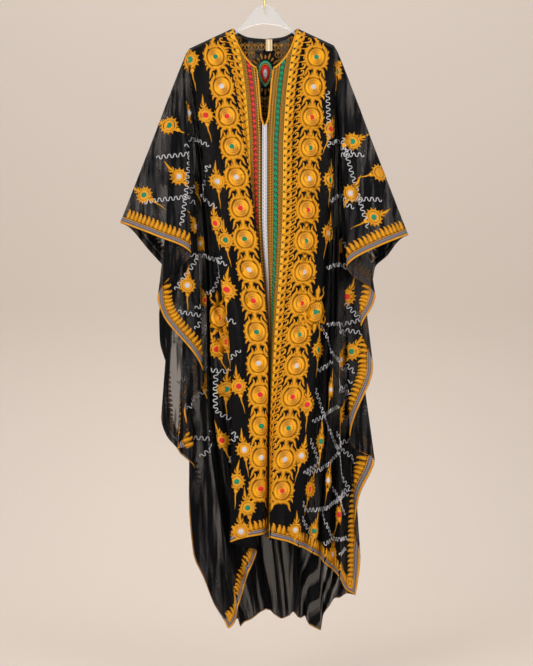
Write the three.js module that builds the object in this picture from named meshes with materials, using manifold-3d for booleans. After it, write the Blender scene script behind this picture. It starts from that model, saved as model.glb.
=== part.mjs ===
// A wide sheer thobe hung on a clear plate hanger with a brass hook.
// Millimetres. +X is the viewer's right, +Y goes away from the viewer, +Z is up.
// The origin is the inner top of the hook, where the whole thing is held.
//
// The cloth is cut flat as two wide sheets and hung on the hanger. Every thread that
// hangs is followed on its own: its flat length never changes, and short tables say how
// far each fold stands sideways (x) and in depth (y). The drop follows from the length.
import * as THREE from 'three';
import { mergeVertices } from 'three/addons/utils/BufferGeometryUtils.js';
import Module from 'manifold-3d';

// ---- driving sizes ---------------------------------------------------------------
const WALL = 1.0; // cloth wall
const TRIM = 0.9; // braid wall
const LIFT = 0.4; // clear space between a braid and the cloth under it
const SEAM = 0.4; // clear space between two sewn pieces
const NECK_HALF = 80; // centre to the neck point of the shoulder
// Centre to the end of the hanger arm, along the cloth: it hangs a little to the left.
const SHOULDER = { left: 200, right: 181 };
const NECK_Z = -131; // height of the shoulder line at the neck point
const ARM_SLOPE = (25 * Math.PI) / 180; // fall of the hanger arm
const BORDER = 13; // width of the cord and braid round every edge
const TURN = 18; // length of cloth that rounds over the end of the arm
const ROLL = 9.5; // length of cloth that rolls over the top of the arm
const FOLD = 1.2; // middle of the cloth to the middle of a fold
const LAY = 7.5; // cloth to the middle of the hanger plate
const THREAD_STEPS = 40; // samples along a hanging thread
const EDGE_CORD = 4; // width of the back hem's cord
const NECK_BRAID = 5;
const LABEL = { width: 16, height: 29, thick: 1, x: 10, y: 5.4, top: -157.5 };
const PLATE = { thick: 7, top: -75, archTop: -120, armX: 152, armHalf: 8 };
const HOOK = { rod: 6, ring: 25, foot: -96, bend: -58 }; // ring: inner radius

const armEnd = (shoulder) => ({
  x: NECK_HALF + (shoulder - NECK_HALF) * Math.cos(ARM_SLOPE),
  z: NECK_Z - (shoulder - NECK_HALF) * Math.sin(ARM_SLOPE),
});
const ARM_END = { left: armEnd(SHOULDER.left), right: armEnd(SHOULDER.right) };

// Cut of the two halves of a sheet: reach from the arm's end to the cuff, and the drop at
// the arm's end and at the outer corner.
const CUT = {
  left: { reach: 452, corner: 1387, front: 1240, back: 1462 },
  right: { reach: 493, corner: 1289, front: 1253, back: 1475 },
};
const HEM_CENTRE = { front: 1283, back: 1484 };

// ---- folds of the wings ------------------------------------------------------------
// One row for each thread that fans out from the arm's end. angle: degrees from the cut's
// top edge down to the thread. x: where its end hangs. y: the depth it tends to as it
// gets long. high, low: how far it swings sideways off its straight way, in its upper
// and its lower third.
const rows = (names, table) =>
  table.map((line) => Object.fromEntries(names.map((name, i) => [name, line[i]])));
const WING_COLUMNS = ['angle', 'x', 'y', 'high', 'low'];

// Where both faces are sewn together, from the foot of the cuff to the corner of the hem:
// angle, x, depth of the front cloth, depth of the back cloth, high, low.
const SIDE_SEAM = {
  left: [
    [63.1, -220, 12, 20, 0, 6],
    [64.5, -176, 16, 24, 0, -8],
    [66.3, -191, 20, 29, 0, 2],
    [69.1, -180, 24, 33, 0, -2],
    [70.1, -154, 26, 37, 0, -10],
    [71.1, -128, 27, 38, 0, -6],
    [71.9, -94, 20, 38, 0, 0],
  ],
  right: [
    [61.7, 275, 12, 21, 0, -10],
    [64.2, 236, 17, 27, 0, 4],
    [66.1, 225, 23, 33, 0, 8],
    [67.4, 240, 28, 38, 0, -4],
    [69.1, 228, 27, 41, 0, 0],
  ],
};
const sewnFront = ([angle, x, front, back, high, low]) => [angle, x, front, high, low];
const sewnBack = ([angle, x, front, back, high, low]) => [angle, x, back, high, low];

const FANS = {
  left: {
    front: [
      [0, -362, 0, 0, 0],
      [3, -353, -16, -3, -3],
      [14, -284, -58, -3, -2],
      [23.5, -202, -58, 0, 0],
      [27.6, -184, -44, 0, 0],
      [31, -196, -34, 0, 0],
      [43.8, -267, -22, 0, 0],
      [47, -256, -16, 0, 0],
      [57, -152, 1, 0, 0],
      [59.9, -204, 5, 0, 0],
      [61.7, -195, 8.5, 0, 0],
      ...SIDE_SEAM.left.map(sewnFront),
      [73.2, -74, 4, 0, 0],
      [75.5, -66, -36, -4, -34],
      [78.5, -52, -12, 0, -30],
      [81.5, -40, -42, -6, -40],
      [84, -28, -24, -2, -18],
      [86.8, -20, -36, 0, 0],
    ],
    back: [
      [0, -362, 0, 0, 0],
      [3, -353, 16, -3, -3],
      [14, -332, 50, 0, 0],
      [25, -300, 66, 0, 0],
      [34, -254, 84, 0, 0],
      [40, -214, 82, 0, 0],
      [47, -268, 65, 0, 0],
      [51.8, -266, 57, 0, 0],
      [57, -242, 49, 0, 0],
      [60.8, -262, 40, 0, 0],
      [62.2, -248, 31, 0, 0],
      ...SIDE_SEAM.left.map(sewnBack),
      [74, -89, 50, 0, 0],
      [77, -86, 66, 0, 0],
      [80, -82, 84, 0, 0],
      [83, -76, 62, 0, 0],
      [86.5, -69, 84, 0, 0],
    ],
  },
  right: {
    front: [
      [0, 358, 0, 0, 0],
      [3, 350, -16, 3, 3],
      [12.5, 290, -58, 3, 2],
      [22.6, 218, -58, 0, 0],
      [26.5, 203, -44, 0, 0],
      [29.6, 212, -34, 0, 0],
      [38.5, 275, -25, 0, 0],
      [40.9, 268, -19, 0, 0],
      [45.8, 240, -11, 0, 0],
      [52.4, 270, -4, 0, 0],
      [60.3, 212, 4, 0, 0],
      ...SIDE_SEAM.right.map(sewnFront),
      [70.6, 204, 8, 0, -6],
      [72.3, 194, -22, 2, -2],
      [74.8, 184, -48, 4, 2],
      [77, 168, -20, 6, 4],
      [79.5, 148, -52, 8, 6],
      [82, 136, -24, 10, 8],
      [84.5, 118, -56, 12, 10],
      [87, 100, -36, 13, 12],
    ],
    back: [
      [0, 358, 0, 0, 0],
      [3, 350, 16, 3, 3],
      [12, 334, 44, 0, 0],
      [22, 311, 68, 0, 0],
      [27.5, 280, 84, 0, 0],
      [33.5, 272, 72, 0, 0],
      [42.9, 240, 62, 0, 0],
      [51.2, 262, 54, 0, 0],
      [57.5, 220, 45, 0, 0],
      ...SIDE_SEAM.right.map(sewnBack),
      [72.5, 206, 66, 0, 0],
      [75.5, 190, 48, 0, 0],
      [78.5, 176, 78, 0, 0],
      [81.5, 162, 50, 0, 0],
      [86.5, 148, 86, 0, 0],
    ],
  },
};

// ---- folds of the body -------------------------------------------------------------
// One row for each thread that hangs from the shoulder or the neck. u: its place in the
// cut. The other columns: where it stands at four drops down the cloth.
const BODY_DROPS = { front: [450, 800, 1050, 1240], back: [450, 800, 1100, 1470] };
const BODY_COLUMNS = ['u', 'x0', 'y0', 'x1', 'y1', 'x2', 'y2', 'x3', 'y3'];
const BODY = {
  front: rows(BODY_COLUMNS, [
    [-200, -132, -38, -84, -52, -83, -56, -88, -60],
    [-160, -96, -32, -47, -46, -46, -52, -50, -54],
    [-125, -58, -36, -16, -48, -8, -50, -14, -50],
    [-92, -27, -40, 7, -50, 5, -24, 4, -24],
    [-62, -38, -23, 3, -20, 0, -2, 0, -2],
    [-40, -29, -22, 0, -4, 0, 12, 0, 12],
    [-14, -14, -31, 7, 6, 8, 22, 8, 22],
    [0, -1, -31, 13, -10, 15, 8, 15, 10],
    [24, 22, -31, 15, -28, 14, -10, 14, -6],
    [45, 42, -31, 21, -42, 12, -28, 11, -24],
    [64, 58, -32, 33, -46, 15, -44, 11, -42],
    [95, 82, -36, 56, -50, 28, -58, 14, -62],
    [124, 103, -34, 78, -46, 48, -54, 32, -58],
    [152, 126, -32, 103, -44, 73, -48, 58, -50],
    [181, 149, -38, 124, -52, 98, -56, 82, -60],
  ]),
  back: rows(BODY_COLUMNS, [
    [-200, -144, 32, -110, 40, -82, 44, -62, 44],
    [-168, -122, 34, -92, 62, -68, 68, -50, 38],
    [-135, -100, 27, -80, 36, -56, 38, -28, 62],
    [-100, -74, 33, -52, 60, -36, 68, -8, 92],
    [-66, -50, 27, -40, 36, -26, 38, 12, 94],
    [-33, -24, 33, -12, 58, -4, 68, 26, 72],
    [0, 0, 28, -2, 36, 6, 38, 42, 36],
    [33, 26, 33, 24, 58, 32, 68, 58, 60],
    [66, 52, 27, 34, 36, 42, 38, 72, 92],
    [96, 77, 33, 62, 60, 70, 68, 84, 40],
    [124, 98, 27, 78, 36, 84, 38, 102, 96],
    [153, 120, 34, 102, 60, 110, 68, 114, 38],
    [181, 142, 32, 120, 40, 128, 44, 140, 38],
  ]),
};

// Neck opening: how far below the neck point's level each thread of the cut starts.
const NECK = {
  front: rows(['u', 'drop'], [
    [0, 243],
    [6, 228],
    [12, 168],
    [18, 100],
    [26, 96],
    [45, 78],
    [62, 52],
    [74, 18],
    [77, 7],
    [80, 0],
  ]),
  back: rows(['u', 'drop'], [
    [0, 25],
    [40, 21],
    [66, 10],
    [80, 0],
  ]),
};

// ---- curves through a table's rows --------------------------------------------------
// Cubic between rows that never swings past a row's value, so a fold's ridge stays where
// its row puts it.
function curve(keys, values, at) {
  const last = keys.length - 1;
  if (at <= keys[0]) return values[0];
  if (at >= keys[last]) return values[last];
  let i = 0;
  while (keys[i + 1] < at) i += 1;
  const span = (k) => keys[k + 1] - keys[k];
  const slope = (k) => (values[k + 1] - values[k]) / span(k);
  const tangent = (k) => {
    if (k === 0) return slope(0);
    if (k === last) return slope(last - 1);
    const [a, b] = [slope(k - 1), slope(k)];
    if (a * b <= 0) return 0;
    const w = [2 * span(k) + span(k - 1), span(k) + 2 * span(k - 1)];
    return (w[0] + w[1]) / (w[0] / a + w[1] / b);
  };
  const h = span(i);
  const t = (at - keys[i]) / h;
  return (
    values[i] * (1 + 2 * t) * (1 - t) ** 2 +
    tangent(i) * h * t * (1 - t) ** 2 +
    values[i + 1] * t * t * (3 - 2 * t) +
    tangent(i + 1) * h * t * t * (t - 1)
  );
}
const column = (table, name, key, at) =>
  curve(table.map((row) => row[key]), table.map((row) => row[name]), at);
const mix = (a, b, t) => a + (b - a) * t;
const ease = (from, to, at) => {
  const t = Math.min(1, Math.max(0, (at - from) / (to - from)));
  return t * t * (3 - 2 * t);
};

// ---- hanging threads ----------------------------------------------------------------
const fans = {};
for (const side of ['left', 'right'])
  for (const face of ['front', 'back'])
    fans[side + face] = rows(WING_COLUMNS, FANS[side][face]);

// Length of a wing thread from the arm's end to the cuff or the hem.
function wingLength(side, face, angle) {
  const cut = CUT[side];
  const radians = (angle * Math.PI) / 180;
  const drop = cut[face];
  const slope = (cut.corner - drop) / cut.reach;
  const toHem = drop / (Math.sin(radians) - slope * Math.cos(radians));
  const toCuff = angle > 89 ? Infinity : cut.reach / Math.cos(radians);
  return angle < 40 ? toCuff : Math.min(toCuff, Math.abs(toHem));
}

// How much of a fold's full depth a thread has reached at a length r.
const opened = (r) => ease(0, 60, r) * (1 - Math.exp(-r / 500));

// Sideways and depth place of a wing thread at a length r from its start.
function wingPlace(side, face, angle, r) {
  const sign = side === 'left' ? -1 : 1;
  const away = face === 'front' ? -1 : 1;
  const fan = fans[side + face];
  const s = r / wingLength(side, face, angle);
  const startX = sign * (ARM_END[side].x + TURN * 0.5 * (1 - angle / 90));
  const startY = away * mix(FOLD, LAY, Math.min(1, angle / 14));
  const panelEdge = bodyPlace(face, sign * SHOULDER[side], s * CUT[side][face]);
  const sway = (row) => curve([0, 0.35, 0.7, 1], [0, row.high, row.low, 0], s);
  const across = (value, last) =>
    curve([...fan.map((row) => row.angle), 90], [...fan.map(value), last], angle);
  const foldedX = across((row) => mix(startX, row.x, s) + sway(row), panelEdge[0]);
  const foldedY = across((row) => mix(startY, row.y, opened(r)), panelEdge[1]);
  const lean = Math.asin((Math.abs(fan[0].x) - ARM_END[side].x) / CUT[side].reach);
  const topFoldX = sign * (ARM_END[side].x + TURN * 0.5 + r * Math.sin(lean));
  const plainX = mix(topFoldX, panelEdge[0], angle / 90);
  return [mix(plainX, foldedX, ease(20, 170, r)), mix(away * FOLD, foldedY, overArm(r))];
}

// Sideways and depth place of a body thread at a drop v.
function bodyPlace(face, u, v) {
  const away = face === 'front' ? -1 : 1;
  const drops = [0, ...BODY_DROPS[face]];
  const at = (row, name, top) =>
    curve(drops, [top, ...BODY_DROPS[face].map((_, i) => row[name + i])], v);
  const us = BODY[face].map((row) => row.u);
  const x = curve(us, BODY[face].map((row) => at(row, 'x', shoulderPoint(row.u).x)), u);
  const y = curve(us, BODY[face].map((row) => at(row, 'y', away * LAY)), u);
  return [mix(shoulderPoint(u).x, x, ease(0, 60, v)), y];
}

function shoulderPoint(u) {
  const past = Math.max(0, Math.abs(u) - NECK_HALF);
  const x = Math.min(Math.abs(u), NECK_HALF) + past * Math.cos(ARM_SLOPE);
  return { x: Math.sign(u) * x, z: NECK_Z - past * Math.sin(ARM_SLOPE) };
}

function bodyLength(face, u) {
  const side = u < 0 ? 'left' : 'right';
  return mix(HEM_CENTRE[face], CUT[side][face], ease(0, SHOULDER[side], Math.abs(u)));
}

// A thread: its 3-D points at the given lengths, the drop worked out so that the cloth is
// never longer or shorter than its cut.
function hang(place, start, length, lengths) {
  const run = (i) => length * (i / THREAD_STEPS) ** 1.5;
  const points = [];
  let before = place(0);
  let z = start;
  for (let i = 0; i <= THREAD_STEPS; i += 1) {
    const now = place(run(i));
    const step = run(i) - run(Math.max(0, i - 1));
    const across = Math.hypot(now[0] - before[0], now[1] - before[1]);
    z -= Math.sqrt(Math.max(step * step - across * across, step * step * 0.1));
    points.push([now[0], now[1], z]);
    before = now;
  }
  return lengths.map((r) => {
    const at = THREAD_STEPS * Math.min(1 - 1e-9, Math.max(0, r / length)) ** (2 / 3);
    const i = Math.floor(at);
    const t = (r - run(i)) / (run(i + 1) - run(i));
    return new THREE.Vector3(...points[i].map((value, k) => mix(value, points[i + 1][k], t)));
  });
}

const ROWS = [0.08, 0.19, 0.33, 0.49, 0.67, 0.85]; // parts of a thread's length
const overArm = (r) => Math.min(1, r / ROLL);

function wingThread(side, face, angle) {
  const length = wingLength(side, face, angle);
  const lengths = [0, ROLL, ...ROWS.map((s) => s * length), length - BORDER, length];
  const start = ARM_END[side].z - TURN * 0.8 * (1 - angle / 90);
  return hang((r) => wingPlace(side, face, angle, r), start, length, lengths);
}

function bodyThread(face, u) {
  const length = bodyLength(face, u);
  const top = Math.abs(u) < NECK_HALF ? column(NECK[face], 'drop', 'u', Math.abs(u)) : 0;
  const below = (s) => top + s * (length - top);
  const hemmed = Math.abs(u) < NECK_HALF ? NECK_BRAID : ROLL;
  const lengths = [top, top + hemmed, ...ROWS.map(below), length - BORDER, length];
  const away = face === 'front' ? -1 : 1;
  const place = (v) => {
    const [x, y] = bodyPlace(face, u, v);
    return [x, Math.abs(u) < NECK_HALF ? y : mix(away * FOLD, y, overArm(v))];
  };
  return hang(place, shoulderPoint(u).z, length, lengths);
}

// ---- the two sheets as grids ----------------------------------------------------------
const BODY_US = {
  front: [-180, -160, -142, -125, -108, -92, -80, -77, -70, -62, -45, -32, -23, -14, -6, 6, 24]
    .concat([33, 46, 64, 72, 77, 80, 95, 110, 124, 138, 152, 167]),
  back: [-184, -168, -151, -135, -117, -100, -80, -66, -50, -33, -16, 0, 16, 33, 50, 66, 80]
    .concat([96, 110, 124, 138, 153, 167]),
};

// Angles of the threads of a fan: each row's own, and one between wide-spaced rows.
function fanAngles(side, face) {
  const own = [...fans[side + face].map((row) => row.angle), 90];
  const between = own.slice(1).map((b, i) => (b - own[i] > 2.9 ? (b + own[i]) / 2 : null));
  return [...own, ...between.filter((angle) => angle !== null)].sort((a, b) => a - b);
}

const wings = {};
for (const side of ['left', 'right'])
  for (const face of ['front', 'back'])
    wings[side + face] = fanAngles(side, face).map((angle) => ({
      angle,
      points: wingThread(side, face, angle),
    }));

// A sheet runs from the left cuff's top edge to the right one's.
function sheet(face) {
  const left = wings['left' + face].map((thread) => ({ side: 'left', ...thread }));
  const right = wings['right' + face].map((thread) => ({ side: 'right', ...thread }));
  const body = BODY_US[face].map((u) => ({ side: 'body', u, points: bodyThread(face, u) }));
  return [...left, ...body, ...right.reverse()];
}

// The front sheet, then the back sheet the other way round, make one ring of threads.
const ring = [...sheet('front'), ...sheet('back').reverse()].map((thread, i) => ({
  ...thread,
  i,
}));
const frontCount = sheet('front').length;
ring.forEach((thread, i) => {
  thread.face = i < frontCount ? 'front' : 'back';
});

// Outward normals of the ring's grid.
function normalAt(i, j) {
  const at = (a, b) => ring[(a + ring.length) % ring.length].points[b];
  const lastRow = ring[0].points.length - 1;
  const apart = (a, b) => a.distanceTo(b) > 1e-3;
  let before = i - 1;
  let after = i + 1;
  while (!apart(at(before, j), at(i, j))) before -= 1;
  while (!apart(at(after, j), at(i, j))) after += 1;
  const up = new THREE.Vector3().subVectors(
    at(i, Math.max(0, j - 1)),
    at(i, Math.min(lastRow, j + 1)),
  );
  const facing = (from, to) => new THREE.Vector3().subVectors(to, from).cross(up).normalize();
  const [a, b] = [facing(at(before, j), at(i, j)), facing(at(i, j), at(after, j))];
  const normal = a.clone().add(b);
  return normal.length() < 0.02 ? b : normal.normalize();
}
for (const thread of ring)
  thread.normals = thread.points.map((_, j) => normalAt(thread.i, j));

// ---- closed walls -----------------------------------------------------------------------
// A closed wall over some threads and some rows of the ring, from one distance out of the
// middle of the cloth to another, drawn in at its seams.
function wall(threads, firstRow, lastRow, inner, outer, seams = [0, 0]) {
  const columns = threads.map((thread, k) => {
    const pulled = (j) => {
      const p = thread.points[j].clone();
      const end = k === 0 ? 0 : k === threads.length - 1 ? 1 : -1;
      if (end < 0 || seams[end] === 0) return p;
      const next = threads[end === 0 ? 1 : k - 1].points[j];
      const way = new THREE.Vector3().subVectors(next, p);
      const length = way.length();
      return p.addScaledVector(way, Math.min(0.8, seams[end] / Math.max(length, 1e-6)));
    };
    const list = [];
    for (let j = firstRow; j <= lastRow; j += 1) {
      const p = pulled(j);
      const n = thread.normals[j];
      list.push([p.clone().addScaledVector(n, inner), p.clone().addScaledVector(n, outer)]);
    }
    return list;
  });
  const nRows = lastRow - firstRow + 1;
  const index = (k, j, side) => (k * nRows + j) * 2 + side;
  const positions = columns.flatMap((list) => list.flatMap((pair) => pair.flatMap((p) => p.toArray())));
  const faces = [];
  const quad = (a, b, c, d) => faces.push(a, b, c, a, c, d);
  const lastK = columns.length - 1;
  const lastJ = nRows - 1;
  for (let k = 0; k < lastK; k += 1)
    for (let j = 0; j < lastJ; j += 1) {
      quad(index(k, j, 1), index(k, j + 1, 1), index(k + 1, j + 1, 1), index(k + 1, j, 1));
      quad(index(k, j, 0), index(k + 1, j, 0), index(k + 1, j + 1, 0), index(k, j + 1, 0));
    }
  for (let k = 0; k < lastK; k += 1) {
    quad(index(k, 0, 0), index(k, 0, 1), index(k + 1, 0, 1), index(k + 1, 0, 0));
    quad(index(k, lastJ, 0), index(k + 1, lastJ, 0), index(k + 1, lastJ, 1), index(k, lastJ, 1));
  }
  for (let j = 0; j < lastJ; j += 1) {
    quad(index(0, j, 0), index(0, j + 1, 0), index(0, j + 1, 1), index(0, j, 1));
    quad(index(lastK, j, 0), index(lastK, j, 1), index(lastK, j + 1, 1), index(lastK, j + 1, 0));
  }
  const geometry = new THREE.BufferGeometry();
  geometry.setAttribute('position', new THREE.Float32BufferAttribute(positions, 3));
  geometry.setIndex(faces);
  return geometry;
}

// ---- materials ----------------------------------------------------------------------------
const finish = (color, roughness, metalness = 0) =>
  new THREE.MeshStandardMaterial({ color, roughness, metalness });
const chiffon = finish(0x1b1b20, 0.75);
const gold = finish(0xc9992f, 0.45, 0.4);
const red = finish(0xc8474f, 0.6);
const green = finish(0x1f9c7c, 0.6);
const silver = finish(0xc4c2cc, 0.4, 0.3);
const cream = finish(0xefe3c4, 0.8);
const acrylic = finish(0xf2f2f2, 0.1);
const brass = finish(0xc9a45a, 0.3, 0.9);

const garment = new THREE.Group();
const add = (name, geometry, material) => {
  const mesh = new THREE.Mesh(geometry, material);
  mesh.name = name;
  garment.add(mesh);
};

// ---- cloth pieces -----------------------------------------------------------------------
const half = WALL / 2;
const lastRow = ring[0].points.length - 1;
const SEWN = [0.8 * SEAM, 0.8 * SEAM];
const on = (face, test) => ring.filter((thread) => thread.face === face && test(thread));
const between = (side, from, to) => (thread) =>
  thread.side === side && thread.angle >= from && thread.angle <= to;
const seamAngle = (side) => SIDE_SEAM[side].at(-1)[0];
const panelAngle = (side, face) => FANS[side][face].at(-1)[0];
const inPanel = (face) => (thread) =>
  thread.side === 'body' || thread.angle >= panelAngle(thread.side, face);

const sleeves = {};
for (const side of ['left', 'right']) {
  const outer = between(side, 0, seamAngle(side));
  const [first, second] = side === 'right' ? ['front', 'back'] : ['back', 'front'];
  sleeves[side] = [...on(first, outer), ...on(second, outer).slice(1)];
  add(`sleeve_${side}`, wall(sleeves[side], 0, lastRow, -half, half, SEWN), chiffon);
  for (const face of ['front', 'back']) {
    const gore = on(face, between(side, seamAngle(side), panelAngle(side, face)));
    add(`gore_${face}_${side}`, wall(gore, 1, lastRow, -half, half, SEWN), chiffon);
  }
}
const panels = { front: on('front', inPanel('front')), back: on('back', inPanel('back')) };
add('panel_front', wall(panels.front, 0, lastRow, -half, half, SEWN), chiffon);
add('panel_back', wall(panels.back, 0, lastRow, -half, half, SEWN), chiffon);

// ---- braids and bands on the cloth ----------------------------------------------------------
const under = half + LIFT;
const over = under + TRIM;

// A thread cut short: it starts and ends the given lengths away from two of its rows,
// along the cloth.
function cutShort(thread, from, to, fromShift, toShift) {
  const shifted = (row, next, length) => {
    const a = thread.points[row];
    const t = length / a.distanceTo(thread.points[next]);
    return {
      point: a.clone().lerp(thread.points[next], t),
      normal: thread.normals[row].clone().lerp(thread.normals[next], t).normalize(),
    };
  };
  const ends = [shifted(from, from + 1, fromShift), shifted(to, to - 1, toShift)];
  const inside = thread.points.slice(from + 1, to);
  return {
    points: [ends[0].point, ...inside, ends[1].point],
    normals: [ends[0].normal, ...thread.normals.slice(from + 1, to), ends[1].normal],
  };
}
function strip(name, threads, rowsAndShifts, material) {
  const cut = threads.map((thread) => cutShort(thread, ...rowsAndShifts));
  add(name, wall(cut, 0, cut[0].points.length - 1, under, over), material);
}

const EDGE = [lastRow - 1, lastRow, 0, 0];
for (const side of ['left', 'right']) strip(`cuff_braid_${side}`, sleeves[side].slice(1, -1), EDGE, gold);
const hemFront = on('front', (t) => t.side === 'body' || t.angle > seamAngle(t.side));
const hemBack = on('back', (t) => t.side === 'body' || t.angle > seamAngle(t.side));
strip('hem_braid_front', hemFront, EDGE, gold);
strip('hem_cord_back', hemBack, [lastRow - 1, lastRow, BORDER - EDGE_CORD, 0], gold);

const neckThreads = panels.front.filter((t) => t.side === 'body' && Math.abs(t.u) <= NECK_HALF);
strip('neck_braid', neckThreads, [0, 1, 0, 0], gold);

const BANDS = [
  { name: 'band_gold_left', from: -62, to: -45, material: gold },
  { name: 'band_red', from: -32, to: -23, material: red },
  { name: 'band_silver', from: -6, to: 6, material: silver },
  { name: 'band_green', from: 24, to: 33, material: green },
  { name: 'band_gold_right', from: 46, to: 64, material: gold },
];
for (const band of BANDS) {
  const threads = panels.front.filter((t) => t.u >= band.from && t.u <= band.to);
  strip(band.name, threads, [1, lastRow - 1, SEAM, SEAM], band.material);
}

// ---- label --------------------------------------------------------------------------------
const label = new THREE.BoxGeometry(LABEL.width, LABEL.thick, LABEL.height);
label.translate(LABEL.x, LABEL.y, LABEL.top - LABEL.height / 2);
add('neck_label', label, cream);

// ---- hanger -------------------------------------------------------------------------------
// Cuts the second closed geometry out of the first.
const wasm = await Module();
wasm.setup();
function solid(geometry) {
  const bare = geometry.clone();
  for (const name of Object.keys(bare.attributes))
    if (name !== 'position') bare.deleteAttribute(name);
  const merged = mergeVertices(bare, 1e-4);
  return new wasm.Manifold(
    new wasm.Mesh({
      numProp: 3,
      vertProperties: new Float32Array(merged.attributes.position.array),
      triVerts: new Uint32Array(merged.index.array),
    }),
  );
}
function cutOut(geometry, tool) {
  const mesh = solid(geometry).subtract(solid(tool)).getMesh();
  const cut = new THREE.BufferGeometry();
  cut.setAttribute('position', new THREE.Float32BufferAttribute(mesh.vertProperties, 3));
  cut.setIndex(Array.from(mesh.triVerts));
  return cut;
}

// The plate: a hump over the hook, two hollow shoulders, two arms under the cloth.
const outline = new THREE.Shape();
const armTop = (x) => NECK_Z - ROLL * 0.75 - (x - NECK_HALF * 0.9) * Math.tan(ARM_SLOPE);
const tip = { x: PLATE.armX, top: armTop(PLATE.armX) };
outline.moveTo(0, PLATE.top);
outline.quadraticCurveTo(18, PLATE.top, 30, PLATE.top - 14);
outline.quadraticCurveTo(46, PLATE.top - 38, 74, armTop(74));
outline.lineTo(tip.x, tip.top);
outline.absarc(tip.x, tip.top - PLATE.armHalf, PLATE.armHalf, Math.PI / 2, -Math.PI / 2, true);
outline.lineTo(84, armTop(84) - PLATE.armHalf * 2);
outline.quadraticCurveTo(56, PLATE.archTop - 2, 0, PLATE.archTop);
outline.quadraticCurveTo(-56, PLATE.archTop - 2, -84, armTop(84) - PLATE.armHalf * 2);
outline.lineTo(-tip.x, tip.top - PLATE.armHalf * 2);
outline.absarc(-tip.x, tip.top - PLATE.armHalf, PLATE.armHalf, -Math.PI / 2, Math.PI / 2, true);
outline.lineTo(-74, armTop(74));
outline.quadraticCurveTo(-46, PLATE.top - 38, -30, PLATE.top - 14);
outline.quadraticCurveTo(-18, PLATE.top, 0, PLATE.top);
const plate = new THREE.ExtrudeGeometry(outline, {
  depth: PLATE.thick,
  bevelEnabled: false,
  curveSegments: 8,
});
plate.rotateX(Math.PI / 2);
plate.translate(0, PLATE.thick / 2, 0);
const bore = new THREE.CylinderGeometry(HOOK.rod / 2 + SEAM, HOOK.rod / 2 + SEAM, 40, 12);
bore.rotateX(Math.PI / 2);
bore.translate(0, 0, HOOK.foot - 1 + 20);
add('hanger_plate', cutOut(plate, bore), acrylic);

// The hook: a rod up out of the plate and round three quarters of a ring.
const ring3 = HOOK.ring + HOOK.rod / 2;
const centreZ = HOOK.rod / 2 - ring3;
const hookPoints = [HOOK.foot, -80, -68, HOOK.bend].map((z) => new THREE.Vector3(0, 0, z));
hookPoints.push(new THREE.Vector3(8, 0, HOOK.bend + 8));
for (let degrees = -35; degrees <= 200; degrees += 23.5) {
  const a = (degrees * Math.PI) / 180;
  hookPoints.push(new THREE.Vector3(ring3 * Math.cos(a), 0, centreZ + ring3 * Math.sin(a)));
}
const section = new THREE.Shape();
section.absarc(0, 0, HOOK.rod / 2, 0, Math.PI * 2, false);
const hook = new THREE.ExtrudeGeometry(section, {
  steps: 44,
  curveSegments: 5,
  extrudePath: new THREE.CatmullRomCurve3(hookPoints, false, 'centripetal'),
});
add('hanger_hook', hook, brass);

export default garment;
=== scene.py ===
# %% [markdown]
# # A wide sheer thobe on a clear hanger
# This lesson dresses a finished CAD model. The garment is black see-through chiffon, as wide
# as a pair of outstretched arms, and it hangs in deep folds from a clear hanger. Its outside
# is covered with embroidery in gold, red, green and silver thread.
#
# The plan of the lesson is the maker's own: cut the cloth, hang it, finish the cloth, then
# lay the embroidery on it. The embroidery is drawn flat, on the cut, and carried onto the
# folds by Geometry Nodes, so that every motif bends with the cloth under it.

# %% The frame and the units
import math
from functools import partial

import bmesh
import bpy
import numpy as np
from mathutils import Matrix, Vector


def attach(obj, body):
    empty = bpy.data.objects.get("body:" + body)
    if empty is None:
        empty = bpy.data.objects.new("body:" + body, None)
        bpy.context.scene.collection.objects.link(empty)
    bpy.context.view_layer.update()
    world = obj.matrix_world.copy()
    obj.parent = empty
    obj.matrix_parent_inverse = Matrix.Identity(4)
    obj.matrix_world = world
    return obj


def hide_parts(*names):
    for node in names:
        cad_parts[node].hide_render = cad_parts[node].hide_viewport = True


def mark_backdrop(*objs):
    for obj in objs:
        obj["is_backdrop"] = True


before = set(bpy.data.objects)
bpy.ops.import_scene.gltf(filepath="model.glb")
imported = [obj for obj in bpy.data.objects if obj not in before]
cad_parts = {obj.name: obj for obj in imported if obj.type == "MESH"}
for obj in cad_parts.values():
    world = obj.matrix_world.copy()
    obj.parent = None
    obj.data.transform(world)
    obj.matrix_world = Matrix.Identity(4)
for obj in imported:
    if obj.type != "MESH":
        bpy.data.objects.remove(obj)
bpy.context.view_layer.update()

MM = 0.001
scene = bpy.context.scene

# %% [markdown]
# ## Helpers
# Every object and every node of the lesson is made by the first two of these. A node's
# inputs are given by name: a plain value is set on its socket, and another node's output is
# linked. The other two are short names for the nodes that are used most.


# %% Objects and nodes
def add_object(name, data, **settings):
    made = bpy.data.objects.new(name, data)
    for label, value in settings.items():
        setattr(made, label, value)
    scene.collection.objects.link(made)
    return made


def make_node(tree, kind, inputs=None, **settings):
    made = tree.nodes.new(kind)
    for label, value in settings.items():
        setattr(made, label, value)
    for label, value in (inputs or {}).items():
        if isinstance(value, bpy.types.NodeSocket):
            tree.links.new(value, made.inputs[label])
        else:
            made.inputs[label].default_value = value
    return made


def calc(tree, operation, *values):
    """The result of a Math node on numbers and sockets."""
    node = make_node(tree, "ShaderNodeMath", dict(enumerate(values)), operation=operation)
    return node.outputs[0]


def blended(tree, share, low, high):
    """A colour between two others."""
    inputs = {0: share, 6: low, 7: high}
    return make_node(tree, "ShaderNodeMix", inputs, data_type="RGBA").outputs[2]


print("helpers ready")

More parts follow.
